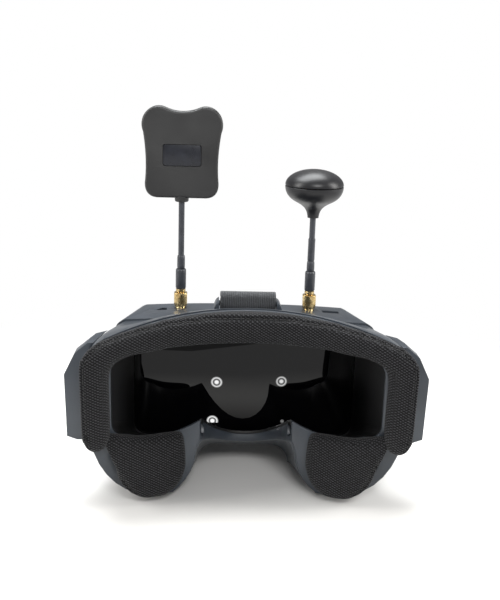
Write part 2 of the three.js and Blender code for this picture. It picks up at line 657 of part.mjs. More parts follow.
function hoodBody(d, overrun) {
  const rearS = plainSection(LENS_HALF_WIDTH - 0.6, LENS_CENTRE + LENS_HEIGHT / 2 - 1,
    LENS_CENTRE - LENS_HEIGHT / 2 + 1, 0.4, 8, 8);
  const frontS = plainSection(SCREEN_VIEW.width / 2 + 2, SCREEN.centre + SCREEN_VIEW.height / 2 + 2,
    SCREEN.centre - SCREEN_VIEW.height / 2 - 2, 0.4, 3, 3);
  return loft([-overrun, 1 + overrun].map((u) => {
    const y = hoodFront + (hoodRear - hoodFront) * u;
    return sectionPoints(inset(blend(frontS, rearS, u), d)).map(([x, z]) => [x, y, z]);
  }));
}

function moduleHood() {
  const lip = solid(box(-SCREEN.width / 2, SCREEN.width / 2, hoodFront - 1.4, hoodFront,
    SCREEN.centre - SCREEN.height / 2, SCREEN.centre + SCREEN.height / 2));
  return solid(hoodBody(0, 0)).add(lip).subtract(solid(hoodBody(THIN, 0.1)));
}

function displayBezel() {
  const { width, height, centre, y } = SCREEN;
  const outline = roundedRect(-width / 2, width / 2, centre - height / 2, centre + height / 2, 1.5);
  const view = roundedRect(-SCREEN_VIEW.width / 2, SCREEN_VIEW.width / 2,
    centre - SCREEN_VIEW.height / 2, centre + SCREEN_VIEW.height / 2, 1);
  outline.holes.push(view);
  return plate(outline, y - 1.1, y - GAP, 3);
}

function mainBoard() {
  const y = SCREEN.y + SCREEN.thick + 1.6;
  const { width, height, thick } = BOARD;
  const low = SCREEN.centre - height / 2;
  let board = solid(box(-width / 2, width / 2, y, y + thick, low, low + height));
  const chips = [[-17, 10, 14, 14, 1.6], [18, 18, 10, 10, 1.4], [-40, -6, 9, 6, 1.2], [34, -2, 12, 8, 1.4]];
  for (const [x, z, w, h, t] of chips) {
    const cz = SCREEN.centre + z;
    board = board.add(solid(box(x - w / 2, x + w / 2, y + thick - 0.1, y + thick + t, cz - h / 2, cz + h / 2)));
  }
  for (const side of [-1, 1]) {
    const ring = solid(box(side * 46 - 3, side * 46 + 3, y - 1.3, y + 0.1, SCREEN.centre - 3, SCREEN.centre + 3));
    board = board.add(ring);
  }
  return board;
}

function keyCap() {
  const face = sideHalfWidth + KEY.proud;
  const base = sideHalfWidth - WALL - keyClear;
  const cap = solid(rod('x', KEY.radius, base, face, 16, KEY.radius - 0.3));
  const flange = solid(rod('x', keyFlange, base - 1.2, base, 16));
  return cap.add(flange);
}

function keyBoard() {
  const x = sideHalfWidth - WALL - keyClear - 1.2 - KEY.travel - GAP;
  const low = keyZ(0) - 5;
  const high = keyZ(KEY.count - 1) + 5;
  return box(x - 1.2, x, KEY.y - 5, KEY.y + 5, low, high);
}

function port(p) {
  const face = -sideHalfWidth + 0.6;
  const body = solid(box(face, face + 5.5, KEY.y - p.long, KEY.y + p.long, p.z - p.tall, p.z + p.tall));
  const bore = p.tall > 2
    ? rod('x', p.tall * 0.62, face - 2, face + 4, 20).translate(0, KEY.y, p.z)
    : box(face - 2, face + 4, KEY.y - p.long + 1, KEY.y + p.long - 1, p.z - 0.6, p.z + 0.6);
  return body.subtract(solid(bore));
}

function powerSwitch() {
  const face = -sideHalfWidth;
  const y = KEY.y - SWITCH.travel / 2;
  const base = face + WALL + 0.4 + (SWITCH.long / 2 + 1.5 + SWITCH.travel / 2) * sideSlope;
  const knob = solid(box(face - 0.6, base, y - SWITCH.long / 2, y + SWITCH.long / 2,
    SWITCH.z - SWITCH.tall / 2, SWITCH.z + SWITCH.tall / 2));
  const slab = solid(box(base, base + 2, y - SWITCH.long / 2 - 1.5,
    y + SWITCH.long / 2 + 1.5, SWITCH.z - SWITCH.tall / 2 - 1.5, SWITCH.z + SWITCH.tall / 2 + 1.5));
  let knobRibs = knob.add(slab);
  for (const dy of [-2, 0, 2]) {
    knobRibs = knobRibs.subtract(solid(box(face - 1, face - 0.2, y + dy - 0.35, y + dy + 0.35,
      SWITCH.z - 2, SWITCH.z + 2)));
  }
  return knobRibs;
}

function latchTab(side) {
  const x = side * LATCH.x;
  const top = BODY_TOP - LATCH.sunk;
  const footTop = BODY_TOP - 4.2;
  const w = LATCH.width / 2;
  const d = LATCH.depth / 2;
  const tab = solid(box(x - w, x + w, LATCH.y - d, LATCH.y + d, footTop - 0.2, top));
  const foot = solid(box(x - w - 1.4, x + w + 1.4, LATCH.y - d - 1.4, LATCH.y + d + 1.4,
    footTop - 1, footTop));
  return tab.add(foot).subtract(solid(box(x - 3, x + 3, LATCH.y - 0.5, LATCH.y + 0.5, top - 0.5, top + 1)));
}

// ---------------------------------------------------------------- antennas

function lathe(points, sides = 20) {
  return new THREE.LatheGeometry(points.map(([r, z]) => new THREE.Vector2(r, z)), sides)
    .rotateX(Math.PI / 2);
}

function socket() {
  return lathe([[0, -6.2], [4.6, -6.2], [4.6, -WALL - GAP - 1.7], [3.1, -WALL - GAP - 1.7],
    [3.1, 6.4], [2.3, 6.4], [2.3, 1], [0, 1]], 16);
}

function couplingNut() {
  const hex = solid(rod('z', 8 / Math.sqrt(3), 2, NUT, 6));
  const collar = solid(rod('z', 4, 0.5, 2.1, 16));
  const bevel = solid(lathe([[0, 0], [4.2, 0], [4.7, 2.6], [4.7, NUT - 0.6], [4.2, NUT], [0, NUT]], 12));
  const bore = solid(rod('z', 3.1 + RUN, -1, NUT - 0.8, 16));
  const neck = solid(rod('z', 2.75, NUT - 3, NUT + 2, 16));
  return hex.intersect(bevel).add(collar).subtract(bore).subtract(neck);
}

function ferrule() {
  return lathe([[0, 1.4], [0.6, 1.4], [0.6, NUT - 1.6], [2.0, NUT - 1.6], [2.0, NUT - 1],
    [2.45, NUT - 1], [2.45, NUT + 0.3], [3.05, NUT + 0.6], [3.05, NUT + 2.2], [2.6, NUT + 2.4],
    [0, NUT + 2.4]], 14);
}

function tube(outer, bore, from, to, sides = 12) {
  const edge = Math.min(0.35, (outer - bore) * 0.4);
  return lathe([[bore, from], [outer - edge, from], [outer, from + edge], [outer, to - edge],
    [outer - edge, to], [bore, to], [bore, from]], sides);
}

const STEM_RADIUS = 1.8;

function addAntennaFoot(side, name, sleeveTop, top) {
  const x = side * ANTENNA_X;
  const place = (part, geometry, material) => {
    add(`${name}_${part}`, geometry, material).position.set(x, 0, TOP);
  };
  place('socket', socket(), 'brass');
  place('coupling_nut', geometryOf(couplingNut()), 'brass');
  place('ferrule', ferrule(), 'brass');
  const bootLow = NUT + 2.7;
  const bootHigh = bootLow + 12.3;
  place('boot', tube(3.2, STEM_RADIUS + 0.25, bootLow, bootHigh), 'rubber');
  place('shrink_sleeve', tube(2.4, STEM_RADIUS + 0.15, bootHigh + 0.4, sleeveTop), 'rubber');
  place('coax_stem', rod('z', STEM_RADIUS, bootLow, top, 16), 'rubber');
  return place;
}

const PATCH = { low: 66.6, high: 122, thick: 8.6, ear: 25, waist: 20.9, foot: 21.8 };

// The butterfly outline of the patch antenna, smaller all round by d.
function patchOutline(d) {
  const { low, high, ear, waist, foot } = PATCH;
  const z = (v) => low + 1.6 + v * (high - low - 1.6);
  const shape = new THREE.Shape();
  shape.moveTo(-foot + 7 + d, z(0) + d);
  shape.lineTo(foot - 7 - d, z(0) + d);
  shape.quadraticCurveTo(foot + 0.4 - d, z(0) + d, foot - d, z(0.15));
  shape.bezierCurveTo(waist - d, z(0.3), waist - d, z(0.5), ear - 2 - d, z(0.74));
  shape.bezierCurveTo(ear + 1.6 - d, z(0.9), ear - 6 - d, z(1.04) - d, ear - 13, z(0.995) - d);
  shape.quadraticCurveTo(6, z(0.945) - d, 0, z(0.945) - d);
  shape.quadraticCurveTo(-6, z(0.945) - d, -ear + 13, z(0.995) - d);
  shape.bezierCurveTo(-ear + 6 + d, z(1.04) - d, -ear - 1.6 + d, z(0.9), -ear + 2 + d, z(0.74));
  shape.bezierCurveTo(-waist + d, z(0.5), -waist + d, z(0.3), -foot + d, z(0.15));
  shape.quadraticCurveTo(-foot - 0.4 + d, z(0) + d, -foot + 7 + d, z(0) + d);
  return shape;
}

function patchHalf(direction) {
  const bevel = 1.6;
  const depth = PATCH.thick / 2 - GAP / 2;
  const geometry = new THREE.ExtrudeGeometry(patchOutline(0), {
    depth: depth - bevel, bevelThickness: bevel, bevelSize: bevel, bevelOffset: -bevel,
    bevelSegments: 1, curveSegments: 4,
  });
  geometry.rotateX(Math.PI / 2);
  const flush = direction < 0 ? -GAP / 2 : GAP / 2;
  const span = direction < 0 ? 0 : depth - bevel;
  geometry.translate(0, flush + span, 0);
  const clip = direction < 0
    ? box(-60, 60, -30, -GAP / 2, 0, 200)
    : box(-60, 60, GAP / 2, 30, 0, 200);
  const cavity = plate(patchOutline(WALL), -PATCH.thick / 2 + WALL, PATCH.thick / 2 - WALL, 3);
  let half = solid(geometry).intersect(solid(clip)).subtract(solid(cavity));
  const collar = solid(rod('z', 4.1, PATCH.low - 0.4, PATCH.low + 4, 20)).intersect(solid(clip));
  half = half.add(collar).subtract(solid(rod('z', STEM_RADIUS + GAP, 50, PATCH.low + 9, 20)));
  return half;
}

const LABEL = { width: 22.6, height: 12.6, sunk: 0.7 };
const labelZ = PATCH.low + 1.6 + 0.47 * (PATCH.high - PATCH.low - 1.6);

function labelRect(grow) {
  return roundedRect(-LABEL.width / 2 - grow, LABEL.width / 2 + grow,
    labelZ - LABEL.height / 2 - grow, labelZ + LABEL.height / 2 + grow, 1.6);
}

const MUSHROOM = { radius: 17.9, neck: 57.6, cone: 68.1, seam: 77.1, top: 87 };

function mushroomProfile(d) {
  const { radius, neck, cone, seam, top } = MUSHROOM;
  const lower = new THREE.Path();
  lower.moveTo(3.4 - d * 0.4, neck + d);
  lower.bezierCurveTo(3.8 - d, neck + 6, 7 - d, cone - 3 + d, 11.5 - d, cone - 0.6 + d);
  lower.bezierCurveTo(radius - 2 - d, cone + 1.5 + d, radius - d, seam - 4 + d * 0.5, radius - d, seam);
  const upper = new THREE.Path();
  upper.moveTo(radius - d, seam);
  upper.bezierCurveTo(radius - d, seam + 5 - d, radius - 7 - d, top - d, 0, top - d);
  return {
    lower: lower.getPoints(5).map((p) => [p.x, p.y]),
    upper: upper.getPoints(7).map((p) => [Math.max(p.x, 0), p.y]),
  };
}

function mushroomCone() {
  const out = mushroomProfile(0).lower;
  const inn = mushroomProfile(1.5).lower.slice(3).reverse();
  const seamLow = MUSHROOM.seam - GAP / 2;
  const ring = [[STEM_RADIUS + GAP, MUSHROOM.neck]].concat(out.slice(0, -1),
    [[MUSHROOM.radius, seamLow], [MUSHROOM.radius - 1.5, seamLow]], inn.slice(1),
    [[STEM_RADIUS + GAP, MUSHROOM.neck + 9], [STEM_RADIUS + GAP, MUSHROOM.neck]]);
  return lathe(ring, 22);
}

function mushroomCap() {
  const out = mushroomProfile(0).upper;
  const inn = mushroomProfile(1.5).upper.reverse();
  const seamHigh = MUSHROOM.seam + GAP / 2;
  const profile = inn.slice(0, -1).concat([[MUSHROOM.radius - 1.5, seamHigh],
    [MUSHROOM.radius, seamHigh]], out.slice(1));
  return lathe(profile, 22);
}

const STEM_TOP = MUSHROOM.cone + 2.5;

// Three petals of wire over the top of the stem.
function radiator() {
  let body = solid(rod('z', 2.2, STEM_TOP + GAP, STEM_TOP + 5, 16));
  for (let i = 0; i < 3; i += 1) {
    const ring = new THREE.TorusGeometry(5.2, 0.6, 5, 12).rotateX(Math.PI / 2);
    const petal = ring.translate(7.4, 0, STEM_TOP + 4.2).rotateZ((i / 3) * Math.PI * 2);
    body = body.add(solid(petal));
  }
  return body;
}

// ---------------------------------------------------------------- assembly

add('rear_shell', geometryOf(rearShell()), 'shell');
add('eye_shroud', geometryOf(eyeShroud()), 'inner');
add('lens_frame', geometryOf(lensFrame()), 'inner');
add('fresnel_lens', lens(), 'lens');
add('face_frame', geometryOf(faceFrame()), 'shell');
add('brow_cushion', browCushion(), 'fabric');
add('cheek_pad_right', geometryOf(cheekPad()), 'fabric');
add('cheek_pad_left', mirrored(geometryOf(cheekPad())), 'fabric');
add('strap_anchor_right', geometryOf(strapAnchor()), 'shell');
add('strap_anchor_left', mirrored(geometryOf(strapAnchor())), 'shell');
add('strap_bracket', geometryOf(strapBracket()), 'shell');
add('top_strap', topStrap(), 'webbing');

add('module_housing', geometryOf(moduleHousing()), 'shell');
add('front_cover', geometryOf(frontCover()), 'shell');
SCREWS.forEach(([x, z], i) => {
  add(`cover_screw_${i + 1}`, geometryOf(screw()), 'steel').position.set(x, 0, z);
});
add('module_hood', geometryOf(moduleHood()), 'inner');
add('display_bezel', displayBezel(), 'steel');
add('display_panel', box(-SCREEN.width / 2, SCREEN.width / 2, SCREEN.y, SCREEN.y + SCREEN.thick,
  SCREEN.centre - SCREEN.height / 2, SCREEN.centre + SCREEN.height / 2), 'glass');
add('main_board', geometryOf(mainBoard()), 'board');
const behindBoard = SCREEN.y + SCREEN.thick + 1.6 + BOARD.thick + GAP;
for (const side of [-1, 1]) {
  const name = side < 0 ? 'receiver_left' : 'receiver_right';
  add(name, box(side * 35.5 - 9, side * 35.5 + 9, behindBoard, behindBoard + 3.6, 58, 79), 'steel');
}
add('battery', box(-BATTERY.width / 2, BATTERY.width / 2, behindBoard + 2, behindBoard + 2 + BATTERY.thick,
  20, 20 + BATTERY.height), 'foil');
add('key_board', keyBoard(), 'board');
['search', 'band', 'channel', 'record', 'menu'].forEach((use, i) => {
  add(`${use}_key`, geometryOf(keyCap()), 'rubber').position.set(0, KEY.y, keyZ(i));
});
add('power_switch', geometryOf(powerSwitch()), 'rubber');
for (const p of PORTS) add(p.name, geometryOf(port(p)), p.material);
add('latch_tab_left', geometryOf(latchTab(-1)), 'inner');
add('latch_tab_right', geometryOf(latchTab(1)), 'inner');

const onPatch = addAntennaFoot(-1, 'patch', 32.4, PATCH.low + 8);
const labelCut = solid(plate(labelRect(GAP), -PATCH.thick, -PATCH.thick / 2 + 1.5, 3));
onPatch('back_shell', geometryOf(patchHalf(-1).subtract(labelCut)), 'patch');
onPatch('front_shell', geometryOf(patchHalf(1)), 'patch');
onPatch('label_plate', plate(labelRect(0), -PATCH.thick / 2 + LABEL.sunk, -PATCH.thick / 2 + 1.5 - GAP, 3), 'inner');
const elementFace = PATCH.thick / 2 - WALL - GAP;
onPatch('element', box(-16, 16, elementFace - 1, elementFace, PATCH.low + 12, PATCH.low + 44), 'board');

const onMushroom = addAntennaFoot(1, 'mushroom', 30.4, STEM_TOP);
onMushroom('upper_sleeve', tube(2.2, STEM_RADIUS + 0.15, 30.8, 44.5), 'rubber');
onMushroom('cone', mushroomCone(), 'gloss');
onMushroom('cap', mushroomCap(), 'gloss');
onMushroom('radiator', geometryOf(radiator()), 'brass');

// The origin goes to the middle of the footprint, on the table.
const bounds = new THREE.Box3().setFromObject(goggles, true);
const middle = bounds.getCenter(new THREE.Vector3());
goggles.position.set(0, -middle.y, -bounds.min.z);

export default goggles;
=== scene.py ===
# %% [markdown]
# # Box-type video goggles for flying model aircraft
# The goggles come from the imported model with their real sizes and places. This lesson gives
# them their looks: moulded shells, a mirror-like lens, knitted cushions and two antennas.
# The model's own solids are the measure for every piece, so nothing has to be fitted later.

# %% Load the frame
import json
import math

import bpy
from mathutils import Euler, Matrix, Vector


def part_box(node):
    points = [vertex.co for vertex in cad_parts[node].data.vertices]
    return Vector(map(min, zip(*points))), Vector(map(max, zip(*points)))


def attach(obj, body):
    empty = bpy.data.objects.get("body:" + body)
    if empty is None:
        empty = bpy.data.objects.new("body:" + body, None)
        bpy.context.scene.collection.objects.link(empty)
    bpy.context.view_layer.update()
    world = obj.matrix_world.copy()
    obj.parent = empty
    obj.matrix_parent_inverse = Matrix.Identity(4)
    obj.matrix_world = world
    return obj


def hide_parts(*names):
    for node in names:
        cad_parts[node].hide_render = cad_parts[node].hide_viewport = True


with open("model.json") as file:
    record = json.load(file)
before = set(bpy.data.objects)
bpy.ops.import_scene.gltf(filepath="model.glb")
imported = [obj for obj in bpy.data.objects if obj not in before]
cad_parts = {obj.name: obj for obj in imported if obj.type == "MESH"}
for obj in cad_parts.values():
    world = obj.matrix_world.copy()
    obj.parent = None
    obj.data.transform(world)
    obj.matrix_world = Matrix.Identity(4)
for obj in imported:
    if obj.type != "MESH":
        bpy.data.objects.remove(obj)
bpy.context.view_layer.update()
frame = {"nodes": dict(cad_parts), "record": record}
MM = 0.001

# %% [markdown]
# ## Camera
# The goggles stand on a table and are looked at from the wearer's side, a little from above
# and from the middle. A long lens would flatten them; this one stands about half a metre away,
# so the face cushions look larger than the antennas behind them. The camera is turned about
# its own line of sight by a degree or two, as a hand-held one is.

# %% Place the camera
socket_low, socket_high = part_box("patch_socket")
ANTENNA_Y = (socket_low[1] + socket_high[1]) / 2
DISTANCE = 0.542
SIDESTEP = math.radians(2.5)
CAMERA = {"lens": 54, "down": 15, "turn": -2.83, "roll": 1.8, "height": 0.244}

camera_data = bpy.data.cameras.new("camera")
camera_data.sensor_fit = "VERTICAL"
camera_data.sensor_height = 36
camera_data.lens = CAMERA["lens"]
camera = bpy.data.objects.new("camera", camera_data)
bpy.context.collection.objects.link(camera)
camera.location = (-DISTANCE * math.sin(SIDESTEP), ANTENNA_Y - DISTANCE * math.cos(SIDESTEP),
                   CAMERA["height"])
aim = Euler((math.radians(90 - CAMERA["down"]), 0, math.radians(CAMERA["turn"])), "XYZ").to_matrix()
camera.rotation_euler = (aim @ Matrix.Rotation(math.radians(CAMERA["roll"]), 3, "Z")).to_euler()
bpy.context.scene.camera = camera
print("camera at", [round(v, 3) for v in camera.location])

# %% [markdown]
# ## Shader maths
# A shader is a chain of nodes. Writing each node and link by hand hides the idea, so a small
# class wraps an output and lets Python's own signs build the Math nodes. Every other node
# comes from one method that takes its type, its settings and what goes into its sockets.

# %% A wire and a paint
class Wire:
    """What comes out of a shader node; sums on it add Math nodes."""

    def __init__(self, paint, socket):
        self.paint = paint
        self.socket = socket

    def __add__(self, other):
        return self.paint.maths("ADD", self, other)

    def __sub__(self, other):
        return self.paint.maths("SUBTRACT", self, other)

    def __mul__(self, other):
        return self.paint.maths("MULTIPLY", self, other)

    def __pow__(self, other):
        return self.paint.maths("POWER", self, other)


class Paint:
    """One material: its shader and the nodes in front of it."""

    def __init__(self, name, **constants):
        self.material = bpy.data.materials.new(name)
        self.material.use_nodes = True
        self.tree = self.material.node_tree
        self.shader = self.tree.nodes["Principled BSDF"]
        for socket, value in constants.items():
            self.shader.inputs[socket.replace("_", " ")].default_value = value
        self.place = self.node("ShaderNodeTexCoord", out="Object")

    def node(self, kind, settings=None, values=None, out=0):
        node = self.tree.nodes.new(kind)
        for key, value in (settings or {}).items():
            if key == "stops":
                while len(node.color_ramp.elements) < len(value):
                    node.color_ramp.elements.new(1)
                for element, (at, shade) in zip(node.color_ramp.elements, value):
                    element.position = at
                    element.color = (shade, shade, shade, 1)
            else:
                setattr(node, key, value)
        for key, value in (values or {}).items():
            if isinstance(value, Wire):
                self.tree.links.new(value.socket, node.inputs[key])
            else:
                node.inputs[key].default_value = value
        return Wire(self, node.outputs[out])

    def maths(self, operation, *terms):
        return self.node("ShaderNodeMath", {"operation": operation}, dict(enumerate(terms)))

    def noise(self, size, detail=3.0, rough=0.5, place=None):
        """Cloudy noise whose lumps are about `size` millimetres."""
        return self.node("ShaderNodeTexNoise", {}, {
            "Vector": place or self.place, "Scale": 1 / (size * MM), "Detail": detail, "Roughness": rough})

    def ramp(self, wire, *stops):
        return self.node("ShaderNodeValToRGB", {"stops": stops}, {0: wire})

    def mix(self, mask, first, second):
        """A colour between two colours; both are RGB triples or wires."""
        first, second = (c if isinstance(c, Wire) else (*c, 1) for c in (first, second))
        return self.node("ShaderNodeMix", {"data_type": "RGBA"}, {0: mask, 6: first, 7: second}, out=2)

    def axes(self):
        split = self.node("ShaderNodeSeparateXYZ", {}, {0: self.place}, out=0)
        node = split.socket.node
        return [Wire(self, node.outputs[i]) for i in range(3)]

    def stretched(self, x, y, z):
        """The place with each axis scaled, so that a pattern is drawn out along the others."""
        return self.node("ShaderNodeMapping", {}, {"Vector": self.place, "Scale": (x, y, z)})

    def feed(self, socket, wire):
        self.tree.links.new(wire.socket, self.shader.inputs[socket])

    def bump(self, height, depth, strength=1.0):
        """Relief `depth` millimetres deep."""
        self.feed("Normal", self.node("ShaderNodeBump", {}, {
            "Strength": strength, "Distance": depth * MM, "Height": height}))
        return self


PAINTS = {}

# %% [markdown]
# ## Moulded plastic
# The housings are injection-moulded ABS. The tool is spark-eroded, so the skin has a fine even
# grain, and hands leave it shinier in patches. Grain is a small noise in the bump, and a
# large soft noise moves the roughness and the colour a little. The same recipe with other
# numbers gives the liners, sleeves, rubber keys and the glossy antenna.

# %% Plastics and rubber
def moulded(slot, dark, light, roughness, grain=0.35, relief=0.02, patch=22, spread=0.08, **constants):
    paint = Paint(slot, Roughness=roughness, **constants)
    cloud = paint.noise(patch, 2.0)
    fine = paint.noise(grain, 2.0, 0.7)
    tone = paint.ramp(cloud * 0.7 + fine * 0.3, (0.34, 0.0), (0.66, 1.0))
    paint.feed("Base Color", paint.mix(tone, dark, light))
    paint.feed("Roughness", cloud * (2 * spread) + (roughness - spread))
    paint.bump(fine, relief)
    PAINTS[slot] = paint.material
    return paint


moulded("shell", (0.03, 0.036, 0.045), (0.046, 0.055, 0.068), 0.36, grain=0.3, relief=0.018)
moulded("liner", (0.0025, 0.0025, 0.003), (0.005, 0.005, 0.0055), 0.42, grain=0.4, relief=0.015)
moulded("jack", (0.006, 0.006, 0.006), (0.012, 0.012, 0.012), 0.45)
moulded("sleeve", (0.03, 0.033, 0.04), (0.055, 0.06, 0.072), 0.38, grain=0.8, relief=0.03, patch=5)
moulded("patch_plastic", (0.011, 0.011, 0.0115), (0.03, 0.03, 0.03), 0.42, grain=0.5, relief=0.07, patch=30)
moulded("label", (0.008, 0.009, 0.014), (0.014, 0.016, 0.024), 0.3, grain=1.2, relief=0.01, patch=6)
moulded("gloss_plastic", (0.004, 0.004, 0.005), (0.009, 0.009, 0.011), 0.36, relief=0.004, spread=0.04)
moulded("key_rubber", (0.009, 0.009, 0.01), (0.018, 0.018, 0.019), 0.7, grain=0.5, relief=0.03)
print("plastics:", sorted(PAINTS))

# %% [markdown]
# ## Metal
# The connectors are gold-plated brass, the screws and cans are plated steel. Turned metal has
# fine rings round its axis. A noise drawn out sideways and squeezed in height gives them, for
# the bump and for the roughness alike.

# %% Metals
def turned_metal(slot, dark, light, roughness):
    paint = Paint(slot, Metallic=1.0)
    rings = paint.noise(1.0, 3.0, 0.6, paint.stretched(0.15, 0.15, 6.0))
    stain = paint.noise(3.5, 3.0)
    paint.feed("Base Color", paint.mix(paint.ramp(stain, (0.35, 0.0), (0.62, 1.0)), dark, light))
    paint.feed("Roughness", rings * 0.16 + (roughness - 0.08))
    paint.bump(rings, 0.02, 0.6)
    PAINTS[slot] = paint.material


turned_metal("brass", (0.52, 0.36, 0.15), (0.78, 0.62, 0.33), 0.24)
turned_metal("steel", (0.36, 0.36, 0.37), (0.55, 0.55, 0.56), 0.32)
turned_metal("copper", (0.45, 0.2, 0.1), (0.7, 0.36, 0.2), 0.35)
print("metals:", [name for name in PAINTS if name in ("brass", "steel", "copper")])

# %% [markdown]
# ## Mesh knit
# The cushions wear a spacer mesh: rows of small open eyelets, set off by half a step from row to
# row, so they run in diagonals. Two crossed sine waves make the eyelets. They are worked
# out once for each pair of axes, and the direction of the surface picks which pair is used, so the
# knit keeps its size on the front and on the sides without any unwrapping.

# %% Knitted fabric
def crossed(paint, a, b, step):
    """Eyelets `step` millimetres apart in diagonal rows over the two axes a and b."""
    turn = 2 * math.pi / (step * MM)
    rows = paint.maths("SINE", (a + b * 0.62) * turn) * 0.5 + 0.5
    dots = paint.maths("SINE", (a - b * 0.62) * turn) * 0.5 + 0.5
    return rows * (dots * 0.75 + 0.25)


def knitted(slot, dark, light, step):
    paint = Paint(slot, Roughness=0.85, Sheen_Weight=0.06, Sheen_Roughness=0.4)
    paint.shader.inputs["Specular IOR Level"].default_value = 0.25
    x, y, z = paint.axes()
    facing = paint.node("ShaderNodeNewGeometry", out="Normal")
    split = paint.node("ShaderNodeSeparateXYZ", {}, {0: facing}).socket.node
    weight = [paint.maths("ABSOLUTE", Wire(paint, split.outputs[i])) ** 4 for i in range(3)]
    total = weight[0] + weight[1] + weight[2] + 0.001
    share = [paint.maths("DIVIDE", w, total) for w in weight]
    knit = (crossed(paint, z, y, step) * share[0] + crossed(paint, z, x, step) * share[1]
            + crossed(paint, y, x, step) * share[2])
    yarn = paint.noise(0.6, 2.0, 0.7)
    worn = paint.noise(26, 3.0)
    thread = paint.ramp(knit + (yarn - 0.5) * 1.1, (0.2, 0.0), (0.72, 1.0))
    lit = paint.mix(worn, light, tuple(c * 0.72 for c in light))
    paint.feed("Base Color", paint.mix(thread, dark, lit))
    paint.bump(knit + yarn * 0.35, 0.42, 0.9)
    PAINTS[slot] = paint.material
    return paint


knitted("fabric", (0.0008, 0.0008, 0.001), (0.05, 0.05, 0.055), 1.55)

# %% [markdown]
# ## Webbing, boards and glass
# Elastic webbing has fine ribs along its length with pale specks where the rubber shows. The circuit
# boards have a grid of tracks under green lacquer, the battery is wrapped in crinkled foil, and the
# display and the lens are smooth with a few smears that only change the roughness.

# %% Webbing
webbing = Paint("webbing", Roughness=0.9, Sheen_Weight=0.3)
across = webbing.axes()[0]
ribs = webbing.maths("SINE", across * (2 * math.pi / (1.05 * MM))) * 0.5 + 0.5
weft = webbing.noise(0.45, 2.0, 0.8)
specks = webbing.ramp(webbing.noise(0.7, 1.0), (0.62, 0.0), (0.7, 1.0))
woven = webbing.mix(webbing.ramp(ribs * 0.6 + weft * 0.5, (0.2, 0.0), (0.9, 1.0)),
                    (0.018, 0.019, 0.021), (0.075, 0.079, 0.086))
webbing.feed("Base Color", webbing.mix(specks * 0.35, woven, (0.2, 0.21, 0.22)))
webbing.bump(ribs + weft * 0.5, 0.25, 0.8)
PAINTS["webbing"] = webbing.material

# %% Boards, foil, screen and lens
board = Paint("board", Roughness=0.35)
cells = board.node("ShaderNodeTexBrick", {}, {
    "Vector": board.place, "Scale": 180.0, "Color1": (0.01, 0.12, 0.05, 1), "Color2": (0.015, 0.17, 0.08, 1),
    "Mortar": (0.03, 0.26, 0.12, 1), "Mortar Size": 0.03})
board.feed("Base Color", cells)
board.bump(board.node("ShaderNodeRGBToBW", {}, {0: cells}), 0.05)
PAINTS["board"] = board.material

foil = Paint("foil", Metallic=0.7)
crinkle = foil.node("ShaderNodeTexVoronoi", {"feature": "DISTANCE_TO_EDGE"}, {
    "Vector": foil.place, "Scale": 220.0})
foil.feed("Base Color", foil.mix(foil.noise(9), (0.42, 0.44, 0.47), (0.6, 0.62, 0.65)))
foil.feed("Roughness", crinkle * 0.4 + 0.22)
foil.bump(crinkle, 0.25)
PAINTS["foil"] = foil.material


def glassy(slot, colour, roughness, smear):
    paint = Paint(slot)
    cloud = paint.noise(16, 4.0, 0.6)
    smears = paint.ramp(cloud, (0.45, 0.0), (0.75, 1.0))
    paint.feed("Roughness", smears * smear + roughness)
    paint.feed("Base Color", paint.mix(smears, colour, tuple(c * 1.5 for c in colour)))
    PAINTS[slot] = paint.material
    return paint


glassy("screen", (0.003, 0.003, 0.005), 0.06, 0.05)
lens_paint = glassy("lens", (0.0012, 0.0012, 0.0016), 0.012, 0.03)
lens_paint.shader.inputs["Specular IOR Level"].default_value = 0.3
print("materials:", len(PAINTS))

# %% [markdown]
# Every solid of the model names the material slot it is made of, so one loop dresses them all.
# The pieces that are modelled afresh further down take the same materials.

# %% Dress the model
SLOT_OF = {part["node"]: part["material_slot"] for part in frame["record"]["subparts"]}
for node, slot in SLOT_OF.items():
    solid = frame["nodes"][node]
    if not solid.material_slots:
        solid.data.materials.append(PAINTS[slot])
    for holder in solid.material_slots:
        holder.material = PAINTS[slot]
BODY_OF = {node: body for body, nodes in frame["record"]["behaviour"]["bodies"].items() for node in nodes}
print("dressed", len(SLOT_OF), "solids")

# %% [markdown]
# ## Ways of making a piece
# Most pieces come from three habits of hand modelling. `rest` deselects everything, because an
# operator acts on all that is selected. `finish` gives a piece its material, its body and the
# solids that it stands for. `tool` runs edit-mode work on the whole of one piece.

# %% Habits
SEW = 2e-6                       # corners nearer than this, in metres, become one


def rest():
    if bpy.context.object and bpy.context.object.mode != "OBJECT":
        bpy.ops.object.mode_set(mode="OBJECT")
    bpy.ops.object.select_all(action="DESELECT")


def hold(piece):
    """Makes one piece the only selected one, ready for an operator."""
    rest()
    piece.select_set(True)
    bpy.context.view_layer.objects.active = piece
    return piece


def tool(piece, work):
    """Runs edit-mode work on the whole of a piece."""
    hold(piece)
    bpy.ops.object.mode_set(mode="EDIT")
    bpy.ops.mesh.select_all(action="SELECT")
    work()
    bpy.ops.object.mode_set(mode="OBJECT")
    return piece


def smooth(piece, angle=32):
    hold(piece)
    bpy.ops.object.shade_smooth_by_angle(angle=math.radians(angle))
    return piece


def modify(piece, kind, **settings):
    """Adds a modifier and applies it at once."""
    hold(piece)
    modifier = piece.modifiers.new(kind.lower(), kind)
    for key, value in settings.items():
        setattr(modifier, key, value)
    bpy.ops.object.modifier_apply(modifier=modifier.name)
    return piece


def finish(piece, body, slot, *nodes):
    piece.data.materials.clear()
    piece.data.materials.append(PAINTS[slot])
    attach(piece, body)
    if nodes:
        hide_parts(*nodes)
    return piece


